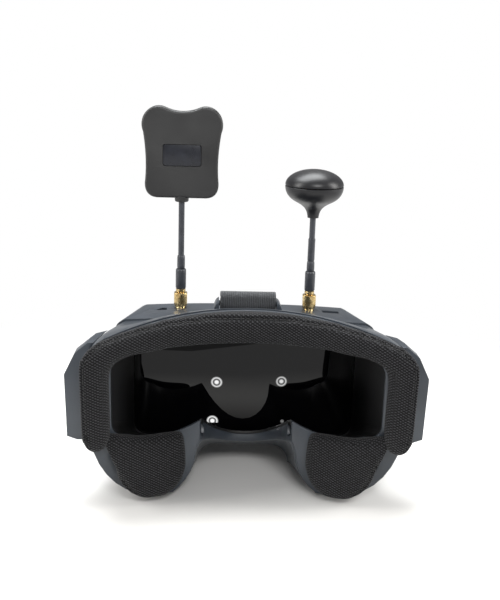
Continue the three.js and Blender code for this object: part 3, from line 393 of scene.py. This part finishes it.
def copy_of(node, name):
    """A copy of a solid of the model with its loose triangles sewn together."""
    piece = bpy.data.objects.new(name, frame["nodes"][node].data.copy())
    bpy.context.collection.objects.link(piece)
    return tool(piece, lambda: bpy.ops.mesh.remove_doubles(threshold=SEW))

# %% [markdown]
# ## Shells and other mouldings
# No moulded edge is sharp: the tool leaves a radius of a few tenths, and that edge is what
# catches the light. The model's solids have the right shape but knife edges, so each one is
# copied and sewn. Flat faces are cleared of their diagonals, the edges get a
# rounding of their own size, and only what bends sharply stays hard in the shading.

# %% Round the edges of the mouldings
EDGES = {
    "rear_shell": 0.55, "face_frame": 0.3, "eye_shroud": 0.4, "lens_frame": 0.3,
    "strap_anchor_left": 0.9, "strap_anchor_right": 0.9, "strap_bracket": 0.7,
    "module_housing": 0.45, "front_cover": 0.5, "module_hood": 0.3, "display_bezel": 0.2,
    "cover_screw_1": 0.15, "cover_screw_2": 0.15, "cover_screw_3": 0.15, "cover_screw_4": 0.15,
    "search_key": 0.3, "band_key": 0.3, "channel_key": 0.3, "record_key": 0.3, "menu_key": 0.3,
    "power_switch": 0.2, "av_jack": 0.3, "power_jack": 0.3, "card_slot": 0.2,
    "latch_tab_left": 0.25, "latch_tab_right": 0.25, "patch_label_plate": 0.2, "fresnel_lens": 0.25,
    "patch_coupling_nut": 0.28, "mushroom_coupling_nut": 0.28,
    "patch_socket": 0.12, "mushroom_socket": 0.12,
}
for node, edge in EDGES.items():
    moulding = copy_of(node, f"{node}_moulding")
    tool(moulding, lambda: bpy.ops.mesh.dissolve_limited(angle_limit=math.radians(0.6)))
    modify(moulding, "BEVEL", width=edge * MM, segments=2, limit_method="ANGLE",
           angle_limit=math.radians(38), use_clamp_overlap=True)
    smooth(moulding, 40)
    finish(moulding, BODY_OF[node], SLOT_OF[node], node)
print("mouldings:", len(EDGES))

# %% [markdown]
# ## Turned pieces
# The antennas' boots, sleeves, stems and the mushroom's two halves are round about their own
# upright line. On a lathe a profile does all the work, so here a ring of edges is pulled up
# and resized once for each point of a profile, and the last ring is sewn to the first or
# closed to a point.

# %% Turn a profile
def turned(name, profile, place, around=56):
    """A closed piece from (radius, height) pairs in millimetres; place is its foot in metres."""
    rest()
    outline = [(max(radius, 0.02), height) for radius, height in profile]
    x, y, z = place
    bpy.ops.mesh.primitive_circle_add(
        vertices=around, radius=outline[0][0] * MM, location=(x, y, z + outline[0][1] * MM))
    piece = bpy.context.object
    piece.name = piece.data.name = name
    bpy.ops.object.transform_apply(location=True)

    def pull():
        for (radius, height), (wider, higher) in zip(outline, outline[1:]):
            bpy.ops.mesh.extrude_region_move(
                TRANSFORM_OT_translate={"value": (0, 0, (higher - height) * MM)})
            share = wider / radius
            bpy.ops.transform.resize(value=(share, share, 1), center_override=(x, y, z))
        bpy.ops.mesh.select_all(action="SELECT")
        bpy.ops.mesh.remove_doubles(threshold=0.04 * MM)
        bpy.ops.mesh.normals_make_consistent(inside=False)

    return smooth(tool(piece, pull), 34)

# %% [markdown]
# ## Antenna feet
# Each antenna stands in a connector: a hexagonal nut over a threaded socket, a ferrule
# crimped on the cable, a rubber boot, and a heat-shrink sleeve over the braid. Heat-shrink
# never ends cleanly, so its ends are slightly necked. The nut keeps its six flats from the
# model, and only the pieces that show round are turned again with more sides.

# %% Turn the feet
def height_of(node, z0):
    low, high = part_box(node)
    return (low[2] - z0) / MM, (high[2] - z0) / MM


FEET = {}
for antenna in ("patch", "mushroom"):
    low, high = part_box(f"{antenna}_socket")
    nut_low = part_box(f"{antenna}_coupling_nut")[0][2]
    foot = ((low[0] + high[0]) / 2, ANTENNA_Y, nut_low - 0.5 * MM)
    FEET[antenna] = foot
    body = f"{antenna}_antenna"
    stem_low, stem_high = height_of(f"{antenna}_coax_stem", foot[2])
    boot_low, boot_high = height_of(f"{antenna}_boot", foot[2])
    sleeve_low, sleeve_high = height_of(f"{antenna}_shrink_sleeve", foot[2])
    crimp_low, crimp_high = height_of(f"{antenna}_ferrule", foot[2])
    stem = turned(f"{antenna}_cable", [
        (0, stem_low), (1.8, stem_low), (1.8, stem_high), (0, stem_high)], foot, 32)
    finish(stem, body, "sleeve", f"{antenna}_coax_stem")
    boot = turned(f"{antenna}_rubber_boot", [
        (2.05, boot_low), (2.9, boot_low), (3.2, boot_low + 0.5), (3.2, boot_high - 1.4),
        (3.08, boot_high - 0.5), (2.7, boot_high), (2.05, boot_high), (2.05, boot_low)], foot)
    finish(boot, body, "sleeve", f"{antenna}_boot")
    sleeve = turned(f"{antenna}_lower_sleeve", [
        (1.95, sleeve_low), (2.2, sleeve_low), (2.38, sleeve_low + 0.4), (2.4, sleeve_low + 2),
        (2.36, sleeve_high - 1.6), (2.25, sleeve_high - 0.5), (2.05, sleeve_high),
        (1.95, sleeve_high), (1.95, sleeve_low)], foot)
    finish(sleeve, body, "sleeve", f"{antenna}_shrink_sleeve")
    top = crimp_high
    crimp = turned(f"{antenna}_crimp", [
        (0, crimp_low), (0.6, crimp_low), (0.6, top - 4), (2.0, top - 4), (2.0, top - 3.4), (2.45, top - 3.4),
        (2.45, top - 2.1), (2.9, top - 1.9), (3.05, top - 1.7), (3.05, top - 1.35), (2.85, top - 1.2),
        (2.85, top - 1.0), (3.05, top - 0.85), (3.05, top - 0.3), (2.75, top), (0, top)], foot)
    finish(crimp, body, "brass", f"{antenna}_ferrule")
    print(antenna, "foot at", [round(v, 4) for v in foot], "boot", round(boot_low, 1), round(boot_high, 1))

# %% [markdown]
# ## Mushroom antenna
# A clover of wire sits inside a shell of two halves: a cone that flares from the stem like a
# wine glass, and a domed cap snapped over its rim. Both are satin black. The outline is a chain of
# Bezier curves, sampled closely so that the highlights run without facets, and each half has
# a small radius at the rim so that the joint between them shows as a fine line.

# %% Turn the two halves
def bezier(a, b, c, d, count):
    points = []
    for i in range(count + 1):
        t = i / count
        s = 1 - t
        points.append(tuple(s ** 3 * p + 3 * s * s * t * q + 3 * s * t * t * r + t ** 3 * e
                            for p, q, r, e in zip(a, b, c, d)))
    return points


foot = FEET["mushroom"]
RADIUS = (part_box("mushroom_cap")[1][0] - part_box("mushroom_cap")[0][0]) / 2 / MM
neck, cone_top = height_of("mushroom_cone", foot[2])
SEAM = cone_top + 0.15
TOP = height_of("mushroom_cap", foot[2])[1]
bend = SEAM - 9
lower = bezier((3.4, neck), (3.8, neck + 6), (7, bend - 3), (11.5, bend - 0.6), 14)
lower += bezier((11.5, bend - 0.6), (RADIUS - 2, bend + 1.5), (RADIUS, SEAM - 4),
                (RADIUS, SEAM - 0.5), 12)[1:]
upper = bezier((RADIUS, SEAM + 0.45), (RADIUS, SEAM + 5), (RADIUS - 7, TOP), (0, TOP), 20)
cone = turned("mushroom_flare", [(2.1, neck), (3.1, neck)] + lower + [
    (RADIUS - 0.3, SEAM - 0.15), (RADIUS - 1.5, SEAM - 0.15), (9, bend + 2.5), (2.1, bend - 1.5),
    (2.1, neck)], foot, 72)
finish(cone, "mushroom_antenna", "gloss_plastic", "mushroom_cone")
cap = turned("mushroom_dome", [(0, TOP - 1.5), (9, TOP - 2.4), (14, TOP - 5), (RADIUS - 1.5, SEAM + 0.15),
                              (RADIUS - 0.3, SEAM + 0.15)] + upper, foot, 72)
finish(cap, "mushroom_antenna", "gloss_plastic", "mushroom_cap")
long_low, long_high = height_of("mushroom_upper_sleeve", foot[2])
sleeve = turned("mushroom_long_sleeve", [
    (1.95, long_low), (2.1, long_low), (2.2, long_low + 0.5), (2.12, long_high - 3), (2.2, long_high - 0.6),
    (2.02, long_high), (1.95, long_high), (1.95, long_low)], foot)
finish(sleeve, "mushroom_antenna", "sleeve", "mushroom_upper_sleeve")
print("mushroom: rim radius", round(RADIUS, 2), "seam", round(SEAM, 1), "top", round(TOP, 1))

# %% [markdown]
# ## Patch antenna
# The flat antenna is two shallow trays glued face to face, with ears at the top, a waist and
# a collar round the cable. A flat curve with rounded sides gives each tray its soft rim in one
# step, and the step for the label is cut out of the rear tray with a rounded block.

# %% Draw the outline
PATCH_LOW, PATCH_HIGH = height_of("patch_back_shell", FEET["patch"][2])
FLOOR_Z = PATCH_LOW + 2.0
EAR, WAIST, BASE = 25, 20.9, 21.8


def up(share):
    return FLOOR_Z + share * (PATCH_HIGH - FLOOR_Z)


right = [((0, up(0)), (BASE - 7, up(0)), None), ((BASE - 7, up(0)), (BASE, up(0.15)), (BASE + 0.4, up(0))),
         ((BASE, up(0.15)), (EAR - 2, up(0.74)), ((WAIST, up(0.3)), (WAIST, up(0.5)))),
         ((EAR - 2, up(0.74)), (EAR - 13, up(0.995)), ((EAR + 1.6, up(0.9)), (EAR - 6, up(1.04)))),
         ((EAR - 13, up(0.995)), (0, up(0.945)), (6, up(0.945)))]
half = []
for begin, end, pull in right:
    if pull is None:
        half += [begin, end]
        continue
    if isinstance(pull[0], tuple):
        first, second = pull
    else:
        first, second = (tuple(a + 2 / 3 * (p - a) for a, p in zip(side, pull)) for side in (begin, end))
    half += bezier(begin, first, second, end, 14)[1:]
outline = half + [(-x, z) for x, z in reversed(half[1:-1])]


def tray(name, offset, thick, rim):
    """A flat tray in the XZ plane, `thick` deep along Y, centred `offset` ahead of the antenna's line."""
    rest()
    curve = bpy.data.curves.new(name, "CURVE")
    curve.dimensions = "2D"
    curve.fill_mode = "BOTH"
    spline = curve.splines.new("POLY")
    spline.points.add(len(outline) - 1)
    shrink = 1 - rim / EAR
    middle = (PATCH_LOW + PATCH_HIGH) / 2
    for point, (x, z) in zip(spline.points, outline):
        point.co = (x * shrink * MM, (middle + (z - middle) * (1 - rim / 28)) * MM, 0, 1)
    spline.use_cyclic_u = True
    curve.extrude = (thick / 2 - rim) * MM
    curve.bevel_depth = rim * MM
    curve.bevel_resolution = 3
    piece = bpy.data.objects.new(name, curve)
    bpy.context.collection.objects.link(piece)
    x, y, z = FEET["patch"]
    hold(piece)
    bpy.ops.object.convert(target="MESH")
    piece = bpy.context.object
    piece.rotation_euler = (math.pi / 2, 0, 0)
    piece.location = (x, y + offset * MM, z)
    bpy.ops.object.transform_apply(location=True, rotation=True)
    tool(piece, lambda: (bpy.ops.mesh.remove_doubles(threshold=SEW),
                         bpy.ops.mesh.normals_make_consistent(inside=False)))
    return piece

# %% Two trays, the label step and the collar
patch_back_low, patch_back_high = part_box("patch_back_shell")
DEPTH = (patch_back_high[1] - patch_back_low[1]) / MM
rear_tray = tray("patch_rear_tray", -DEPTH / 2 - 0.15, DEPTH, 1.5)
front_tray = tray("patch_front_tray", DEPTH / 2 + 0.15, DEPTH, 1.5)
label_low, label_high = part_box("patch_label_plate")
rest()
size = [label_high[i] - label_low[i] + 0.6 * MM for i in range(3)]
centre = [(label_high[i] + label_low[i]) / 2 for i in range(3)]
bpy.ops.mesh.primitive_cube_add(size=1, location=(centre[0], label_high[1] - 1.7 * MM, centre[2]))
cutter = bpy.context.object
cutter.dimensions = (size[0], 4 * MM, size[2])
bpy.ops.object.transform_apply(location=True, scale=True)


def round_upright_edges():
    bpy.ops.mesh.select_all(action="DESELECT")
    bpy.ops.object.mode_set(mode="OBJECT")
    for edge in cutter.data.edges:
        a, b = (cutter.data.vertices[i].co for i in edge.vertices)
        edge.select = abs(a.y - b.y) > 1 * MM
    bpy.ops.object.mode_set(mode="EDIT")
    bpy.ops.mesh.select_mode(type="EDGE")
    bpy.ops.mesh.bevel(offset=1.6 * MM, segments=5)


tool(cutter, round_upright_edges)
modify(rear_tray, "BOOLEAN", object=cutter, operation="DIFFERENCE", solver="EXACT")
bpy.data.objects.remove(cutter)
for each, node in ((rear_tray, "patch_back_shell"), (front_tray, "patch_front_shell")):
    modify(each, "BEVEL", width=0.18 * MM, segments=2, limit_method="ANGLE", angle_limit=math.radians(50))
    smooth(each, 38)
    finish(each, "patch_antenna", "patch_plastic", node)
collar = turned("patch_collar", [(2.0, PATCH_LOW - 0.6), (3.7, PATCH_LOW - 0.6), (4.15, PATCH_LOW - 0.1),
                                 (4.25, PATCH_LOW + 1.2), (4.6, PATCH_LOW + 3), (2.0, PATCH_LOW + 3),
                                 (2.0, PATCH_LOW - 0.6)], FEET["patch"])
finish(collar, "patch_antenna", "patch_plastic")
print("patch trays:", len(outline), "outline points, each", round(DEPTH, 2), "mm deep")

# %% [markdown]
# ## Cushions
# The face side is closed by soft pieces: a brow cushion that arches from cheek to cheek, and
# two pads that rest on the cheeks. Each is foam in a knitted cover, cut a little small so that the
# cover is taut. The model's plain solid is copied, remeshed evenly, drawn in and blown
# up with a cloth simulation whose pressure stands for the foam; no point may travel far, so the
# cushion keeps its place on the shell. Two subdivisions then give it enough points for a seam.

# %% Fill a soft piece
FRAMES = 20
PRESSURE = 4.0
VOXEL = 3.0                      # all in millimetres
DRAWN_IN = 0.9
BROW_CAP = 2.2
PAD_CAP = 2.6


def blow_up(piece, cap):
    """Swells a closed piece as cloth under pressure; no point moves more than `cap` millimetres."""
    start = [vertex.co.copy() for vertex in piece.data.vertices]
    cloth = piece.modifiers.new("cloth", "CLOTH")
    cloth.settings.use_pressure = True
    cloth.settings.uniform_pressure_force = PRESSURE
    cloth.settings.effector_weights.gravity = 0
    cloth.point_cache.frame_end = FRAMES
    for step in range(1, FRAMES + 1):
        bpy.context.scene.frame_set(step)
    hold(piece)
    bpy.ops.object.modifier_apply(modifier=cloth.name)
    bpy.context.scene.frame_set(1)
    far = 0
    for vertex, origin in zip(piece.data.vertices, start):
        move = vertex.co - origin
        far = max(far, move.length / MM)
        if move.length > cap * MM:
            vertex.co = origin + move.normalized() * cap * MM
    return far


def plump(node, name, cap):
    """A soft solid of the model, evenly meshed, drawn in and filled."""
    piece = copy_of(node, name)
    modify(piece, "REMESH", mode="VOXEL", voxel_size=VOXEL * MM)
    modify(piece, "SMOOTH", factor=0.5, iterations=4)
    for vertex in piece.data.vertices:
        vertex.co -= vertex.normal * DRAWN_IN * MM
    far = blow_up(piece, cap)
    modify(piece, "SMOOTH", factor=0.5, iterations=2)
    modify(piece, "SUBSURF", levels=2)
    print(name, "moved up to", round(far, 1), "mm,", len(piece.data.polygons), "faces")
    return piece

# %% The three cushions
brow = plump("brow_cushion", "brow_cover", BROW_CAP)
pads = {side: plump(f"cheek_pad_{side}", f"cheek_cover_{side}", PAD_CAP) for side in ("left", "right")}

# %% [markdown]
# The cover of the brow cushion runs down to the cheek pads with no gap, so both are pressed
# together there: the ends of the arch reach a little down, and the tops of the pads reach up to
# the rim of the eye opening.

# %% Bring them together
LEG_Z, LEG_DROP = 52, 3.2        # below this height the ends of the arch reach down
PAD_Z, PAD_RISE = 24, 1.4        # above this height the pads reach up
PAD_SPREAD, PAD_CORNER = 8.0, 4.0  # and their outer corners out and up
CORNER = 16                      # width of such a corner
PAD_FULL, PAD_DROP = 0.24, 1.0   # fuller and lower towards the foot
FULL_Z, FOOT_Z = 38, 8
leg_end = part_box("brow_cushion")[0][2] / MM
pad_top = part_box("cheek_pad_left")[1][2] / MM
pad_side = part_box("cheek_pad_right")[1][0] / MM


def ease(share):
    share = min(max(share, 0), 1)
    return share * share * (3 - 2 * share)


for vertex in brow.data.vertices:
    vertex.co.z -= LEG_DROP * MM * ease((LEG_Z - vertex.co.z / MM) / (LEG_Z - leg_end))
for side, pad in pads.items():
    sign = -1 if side == "left" else 1
    low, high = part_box(f"cheek_pad_{side}")
    middle = (low[0] + high[0]) / 2
    for vertex in pad.data.vertices:
        under = ease((FULL_Z - vertex.co.z / MM) / (FULL_Z - FOOT_Z))
        vertex.co.x += (vertex.co.x - middle) * PAD_FULL * under
        vertex.co.z -= PAD_DROP * MM * under
        lift = ease((vertex.co.z / MM - PAD_Z) / (pad_top - PAD_Z))
        outward = ease((abs(vertex.co.x) / MM - pad_side + CORNER) / CORNER)
        vertex.co.z += (PAD_RISE + PAD_CORNER * outward) * MM * lift
        vertex.co.x += sign * PAD_SPREAD * MM * lift * outward
print("leg end", round(leg_end, 1), "pad top", round(pad_top, 1))

# %% [markdown]
# ## Seams
# The cover has two panels, front and side, sewn together near the outer edge. The seam pulls
# the foam in, so a narrow channel runs beside a rounded rim, with a row of stitches in it. The line is
# found on the cushion itself: looked at from the face side, it lies a set distance inside the
# outline, and a ray cast from the front finds the height of the cover there.

# %% Sew along the outline
from mathutils.bvhtree import BVHTree
from mathutils.kdtree import KDTree

SLICE = 1.6                      # half the width of the slice that is searched for the outline
SPREAD = 2                       # neighbours on each side that steady the outline
FAR_REAR = -0.3                  # where the rays start, in metres


def surface_of(mesh):
    """The surface of a mesh, ready for rays."""
    return BVHTree.FromPolygons([v.co for v in mesh.vertices], [p.vertices[:] for p in mesh.polygons])


def seam_line(piece, middle, begin, end, count, inside):
    """(place, normal) pairs on the face side, `inside` millimetres in from the outline round `middle`."""
    surface = surface_of(piece.data)
    reach = []
    angles = [math.radians(begin + (end - begin) * i / (count - 1)) for i in range(count)]
    flat = [(v.co.x - middle[0] * MM, v.co.z - middle[1] * MM) for v in piece.data.vertices]
    for angle in angles:
        c, s = math.cos(angle), math.sin(angle)
        reach.append(max(x * c + z * s for x, z in flat
                         if abs(z * c - x * s) < SLICE * MM and x * c + z * s > 0))
    line = []
    for i, angle in enumerate(angles):
        near = reach[max(i - SPREAD, 0):i + SPREAD + 1]
        radius = sum(near) / len(near) - inside * MM
        x = middle[0] * MM + radius * math.cos(angle)
        z = middle[1] * MM + radius * math.sin(angle)
        place, normal, _, _ = surface.ray_cast(Vector((x, FAR_REAR, z)), Vector((0, 1, 0)))
        if place:
            line.append((place, normal))
    return line


def channel(piece, line, width, depth):
    """Presses a soft channel into a piece along a line; sizes in millimetres."""
    tree = KDTree(len(line))
    for i, (place, _) in enumerate(line):
        tree.insert(place, i)
    tree.balance()
    for vertex in piece.data.vertices:
        _, _, away = tree.find(vertex.co)
        if away < width * MM:
            vertex.co -= vertex.normal * depth * MM * (1 - (away / (width * MM)) ** 2) ** 2


THREAD = ((-0.5, -0.35), (-0.3, 0.1), (0.3, 0.1), (0.5, -0.35))  # share of the length, lift in mm


def stitches(name, line, length, pitch, thick, sink):
    """One piece with a short round stitch every `pitch` millimetres along a line."""
    rest()
    curve = bpy.data.curves.new(name, "CURVE")
    curve.dimensions = "3D"
    curve.bevel_depth = thick / 2 * MM
    curve.bevel_resolution = 2
    curve.use_fill_caps = True
    walked, due = 0.0, 0.0
    for (a, normal), (b, _) in zip(line, line[1:]):
        step = (b - a).length / MM
        while due < walked + step:
            along = (b - a).normalized()
            centre = a.lerp(b, (due - walked) / step) - normal * sink * MM
            spline = curve.splines.new("POLY")
            spline.points.add(3)
            for point, (share, lift) in zip(spline.points, THREAD):
                point.co = (*(centre + along * length * share * MM + normal * lift * MM), 1)
            due += pitch
        walked += step
    piece = bpy.data.objects.new(name, curve)
    bpy.context.collection.objects.link(piece)
    hold(piece)
    bpy.ops.object.convert(target="MESH")
    return smooth(bpy.context.object, 50)


# Sizes in millimetres; the turns are in degrees from the right-hand side, anticlockwise.
BROW_SEAM = {"middle": (0, 56), "begin": -10, "end": 190, "count": 420, "inside": 2.4}
PAD_SEAMS = {
    "left": {"middle": (-53, 24), "begin": 202, "end": 242, "count": 120, "inside": 2.6},
    "right": {"middle": (53, 24), "begin": -62, "end": 22, "count": 120, "inside": 2.6},
}
STITCH = {"length": 2.1, "pitch": 3.1, "thick": 0.5, "sink": 0.75}

brow_line = seam_line(brow, **BROW_SEAM)
channel(brow, brow_line, width=1.9, depth=0.9)
finish(stitches("brow_stitches", brow_line, **STITCH), "goggles", "jack")
for side, pad in pads.items():
    pad_line = seam_line(pad, **PAD_SEAMS[side])
    channel(pad, pad_line, width=1.8, depth=0.9)
    finish(stitches(f"cheek_stitches_{side}", pad_line, **STITCH), "goggles", "jack")
    finish(smooth(pad, 60), "goggles", "fabric", f"cheek_pad_{side}")
finish(smooth(brow, 60), "goggles", "fabric", "brow_cushion")
print("seam points:", len(brow_line))

# %% [markdown]
# ## Nose webs
# At each shoulder of the nose opening a strip of the black tunnel shows from below, between the floor of
# the shell and the frame. A small web, as a moulder would add, closes it. Its slope is measured on
# the tunnel: two rays cast upwards find the underside, and a softened bar is laid along them.

# %% Close the shoulders
underside = surface_of(bpy.data.objects["eye_shroud_moulding"].data)
BAR_X, BAR_REAR, BAR_FRONT = 25.4, -24.2, -6.0
BAR_WIDTH, BAR_DEPTH = 3.0, 5.5
BAR_GAP = 0.05
for side, sign in (("left", -1), ("right", 1)):
    ends = [underside.ray_cast(Vector((sign * BAR_X * MM, y * MM, 0)), Vector((0, 0, 1)))[0]
            for y in (BAR_REAR, BAR_FRONT)]
    run = ends[1] - ends[0]
    slope = math.atan2(run.z, run.y)
    down = Vector((0, math.sin(slope), -math.cos(slope))) * (BAR_DEPTH / 2 + BAR_GAP) * MM
    rest()
    bpy.ops.mesh.primitive_cube_add(size=1, location=(ends[0] + ends[1]) / 2 + down, rotation=(slope, 0, 0),
                                    scale=(BAR_WIDTH * MM, run.length, BAR_DEPTH * MM))
    web = bpy.context.object
    web.name = web.data.name = f"nose_web_{side}"
    bpy.ops.object.transform_apply(location=True, rotation=True, scale=True)
    modify(web, "BEVEL", width=0.3 * MM, segments=2)
    finish(smooth(web), "goggles", "shell")
    print(web.name, "slope", round(math.degrees(slope), 1))

# %% [markdown]
# ## Top strap
# The strap over the head is a flat elastic webbing. Its end is threaded under the bar of the
# bracket, folded over it and sewn back on itself, so from the face side a round fold shows
# with a dark opening at each end. A ribbon is drawn along that path, thickened and softened.

# %% Fold the webbing
strap_low, strap_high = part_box("top_strap")
WEB_WIDTH = (strap_high[0] - strap_low[0]) / MM
WEB_THICK = 1.5
TURN = 2.85
bar_y = strap_low[1] / MM + TURN + WEB_THICK / 2
bar_z = strap_low[2] / MM + TURN + WEB_THICK / 2
fold_z = strap_high[2] / MM - TURN - WEB_THICK / 2
tail_y = strap_high[1] / MM
path = [(tail_y, bar_z - 0.45), (bar_y + 6, bar_z - 1.5), (bar_y + 2.5, bar_z - 2.5)]
for i in range(10):
    angle = math.radians(270 - 10 * i)
    path.append((bar_y + TURN * math.cos(angle), bar_z + TURN * math.sin(angle)))
for i in range(10):
    angle = math.radians(180 - 10 * i)
    path.append((bar_y + TURN * math.cos(angle), fold_z + TURN * math.sin(angle)))
path += [(bar_y + 2.2, fold_z + TURN - 0.5), (bar_y + 5.5, (fold_z + TURN + bar_z + 1.65) / 2 + 0.9),
         (tail_y, bar_z + 1.65)]
rest()
ribbon = bpy.data.curves.new("strap_loop", "CURVE")
ribbon.dimensions = "2D"
ribbon.fill_mode = "NONE"
spline = ribbon.splines.new("POLY")
spline.points.add(len(path) - 1)
for point, (y, z) in zip(spline.points, path):
    point.co = (y * MM, z * MM, 0, 1)
ribbon.extrude = WEB_WIDTH / 2 * MM
strap = bpy.data.objects.new("strap_loop", ribbon)
bpy.context.collection.objects.link(strap)
hold(strap)
bpy.ops.object.convert(target="MESH")
strap = bpy.context.object
strap.data.transform(Matrix(((0, 0, 1, 0), (1, 0, 0, 0), (0, 1, 0, 0), (0, 0, 0, 1))))
tool(strap, lambda: bpy.ops.mesh.remove_doubles(threshold=SEW))
modify(strap, "SOLIDIFY", thickness=WEB_THICK * MM, offset=0, use_even_offset=True)
modify(strap, "BEVEL", width=0.5 * MM, segments=3, limit_method="ANGLE", angle_limit=math.radians(50))
tool(strap, lambda: bpy.ops.mesh.normals_make_consistent(inside=False))
smooth(strap, 40)
finish(strap, "strap", "webbing", "top_strap")
print("strap: fold at", round(fold_z, 1), "mm, width", WEB_WIDTH, "mm")

# %% [markdown]
# ## Table and light
# The goggles stand on a pale table in even light. The sky round them is white, a large soft
# lamp hangs above and behind, two tall ones stand at the sides and a small one shines from the
# wearer's side, so that the dark plastic shows long soft highlights. The table keeps the shadow
# of the goggles and fades to pure white further off.

# %% Floor, lamps and sky
rest()
bpy.ops.mesh.primitive_plane_add(size=6, location=(0, 0, 0))
floor = bpy.context.object
floor.name = "floor"
table = Paint("table", Roughness=0.9)
table.shader.inputs["Base Color"].default_value = (0.84, 0.83, 0.81, 1)
table.shader.inputs["Specular IOR Level"].default_value = 0.1
distance = table.node("ShaderNodeVectorMath", {"operation": "LENGTH"}, {0: table.place}, out=1)
far_off = table.node("ShaderNodeMapRange", {"interpolation_type": "SMOOTHSTEP"}, {
    "Value": distance, "From Min": 0.12, "From Max": 0.36})
white = table.node("ShaderNodeEmission", {}, {"Color": (1, 1, 1, 1), "Strength": 1.0})
fade = table.node("ShaderNodeMixShader", {}, {0: far_off, 2: white})
table.tree.links.new(table.shader.outputs[0], fade.socket.node.inputs[1])
table.tree.links.new(fade.socket, table.tree.nodes["Material Output"].inputs[0])
floor.data.materials.append(table.material)

LAMPS = {
    "overhead": ((-0.1, 0.25, 0.95), (0.9, 0.5), 13.0, (0.97, 0.99, 1.0)),
    "side_left": ((-0.8, -0.2, 0.5), (0.25, 0.7), 5.0, (1.0, 0.99, 0.97)),
    "side_right": ((0.85, -0.1, 0.45), (0.25, 0.7), 6.0, (1.0, 0.99, 0.97)),
    "front": ((0.15, -0.9, 0.8), (0.4, 0.25), 5.0, (1.0, 1.0, 1.0)),
}
AIM = Vector((0, 0, 0.08))
for name, (place, size, power, colour) in LAMPS.items():
    lamp_data = bpy.data.lights.new(name, "AREA")
    lamp_data.shape = "RECTANGLE"
    lamp_data.size, lamp_data.size_y = size
    lamp_data.energy = power
    lamp_data.color = colour
    lamp = bpy.data.objects.new(name, lamp_data)
    bpy.context.collection.objects.link(lamp)
    lamp.location = place
    lamp.rotation_euler = (AIM - Vector(place)).to_track_quat("-Z", "Y").to_euler()

# %% [markdown]
# The lens is a smooth mirror for small lamps. Real ones stand far off, but only their place in
# the mirror matters, so small bright discs hang just ahead of the lens where only reflected
# rays can meet them. Each is given by the spot on the lens where it should appear.

# %% Glints in the lens
lens_low, lens_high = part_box("fresnel_lens")
LENS_FACE = lens_low[1]
BEHIND = 0.007
GLINTS = [(-16.5, 55.0, 3.9, 40), (24.0, 56.0, 3.7, 30), (-19.5, 28.2, 3.9, 45), (25.0, 28.5, 1.2, 12)]
for i, (x, z, radius, strength) in enumerate(GLINTS):
    spot = Vector((x * MM, LENS_FACE, z * MM))
    onward = (spot - camera.location).normalized() * BEHIND
    rest()
    bpy.ops.mesh.primitive_circle_add(
        vertices=40, radius=radius * MM, fill_type="NGON", rotation=(math.pi / 2, 0, 0),
        location=(spot.x + onward.x, spot.y - onward.y, spot.z + onward.z))
    disc = bpy.context.object
    disc.name = f"glint_{i + 1}"
    light = Paint(f"glint_{i + 1}")
    spread = light.node("ShaderNodeVectorMath", {"operation": "LENGTH"}, {0: light.place}, out=1)
    rings = light.ramp(spread * (1 / (radius * MM)),
                       (0.25, 1.0), (0.42, 0.15), (0.6, 0.1), (0.72, 0.9), (0.98, 0.05))
    light.feed("Emission Color", rings)
    light.shader.inputs["Base Color"].default_value = (0, 0, 0, 1)
    light.shader.inputs["Emission Strength"].default_value = strength
    disc.data.materials.append(light.material)
    for kind in ("camera", "diffuse", "shadow", "transmission", "volume_scatter"):
        setattr(disc, f"visible_{kind}", False)
print("glints:", len(GLINTS))

# %% Sky
world = bpy.data.worlds.new("room")
bpy.context.scene.world = world
world.use_nodes = True
sky = world.node_tree
plain = sky.nodes["Background"]
plain.inputs["Color"].default_value = (1, 1, 1, 1)
plain.inputs["Strength"].default_value = 0.38
seen = sky.nodes.new("ShaderNodeBackground")
seen.inputs["Color"].default_value = (1, 1, 1, 1)
seen.inputs["Strength"].default_value = 1
path_node = sky.nodes.new("ShaderNodeLightPath")
either = sky.nodes.new("ShaderNodeMixShader")
sky.links.new(path_node.outputs["Is Camera Ray"], either.inputs[0])
sky.links.new(plain.outputs[0], either.inputs[1])
sky.links.new(seen.outputs[0], either.inputs[2])
sky.links.new(either.outputs[0], sky.nodes["World Output"].inputs[0])
bpy.context.scene.view_settings.view_transform = "Standard"
print("lamps:", len(LAMPS))
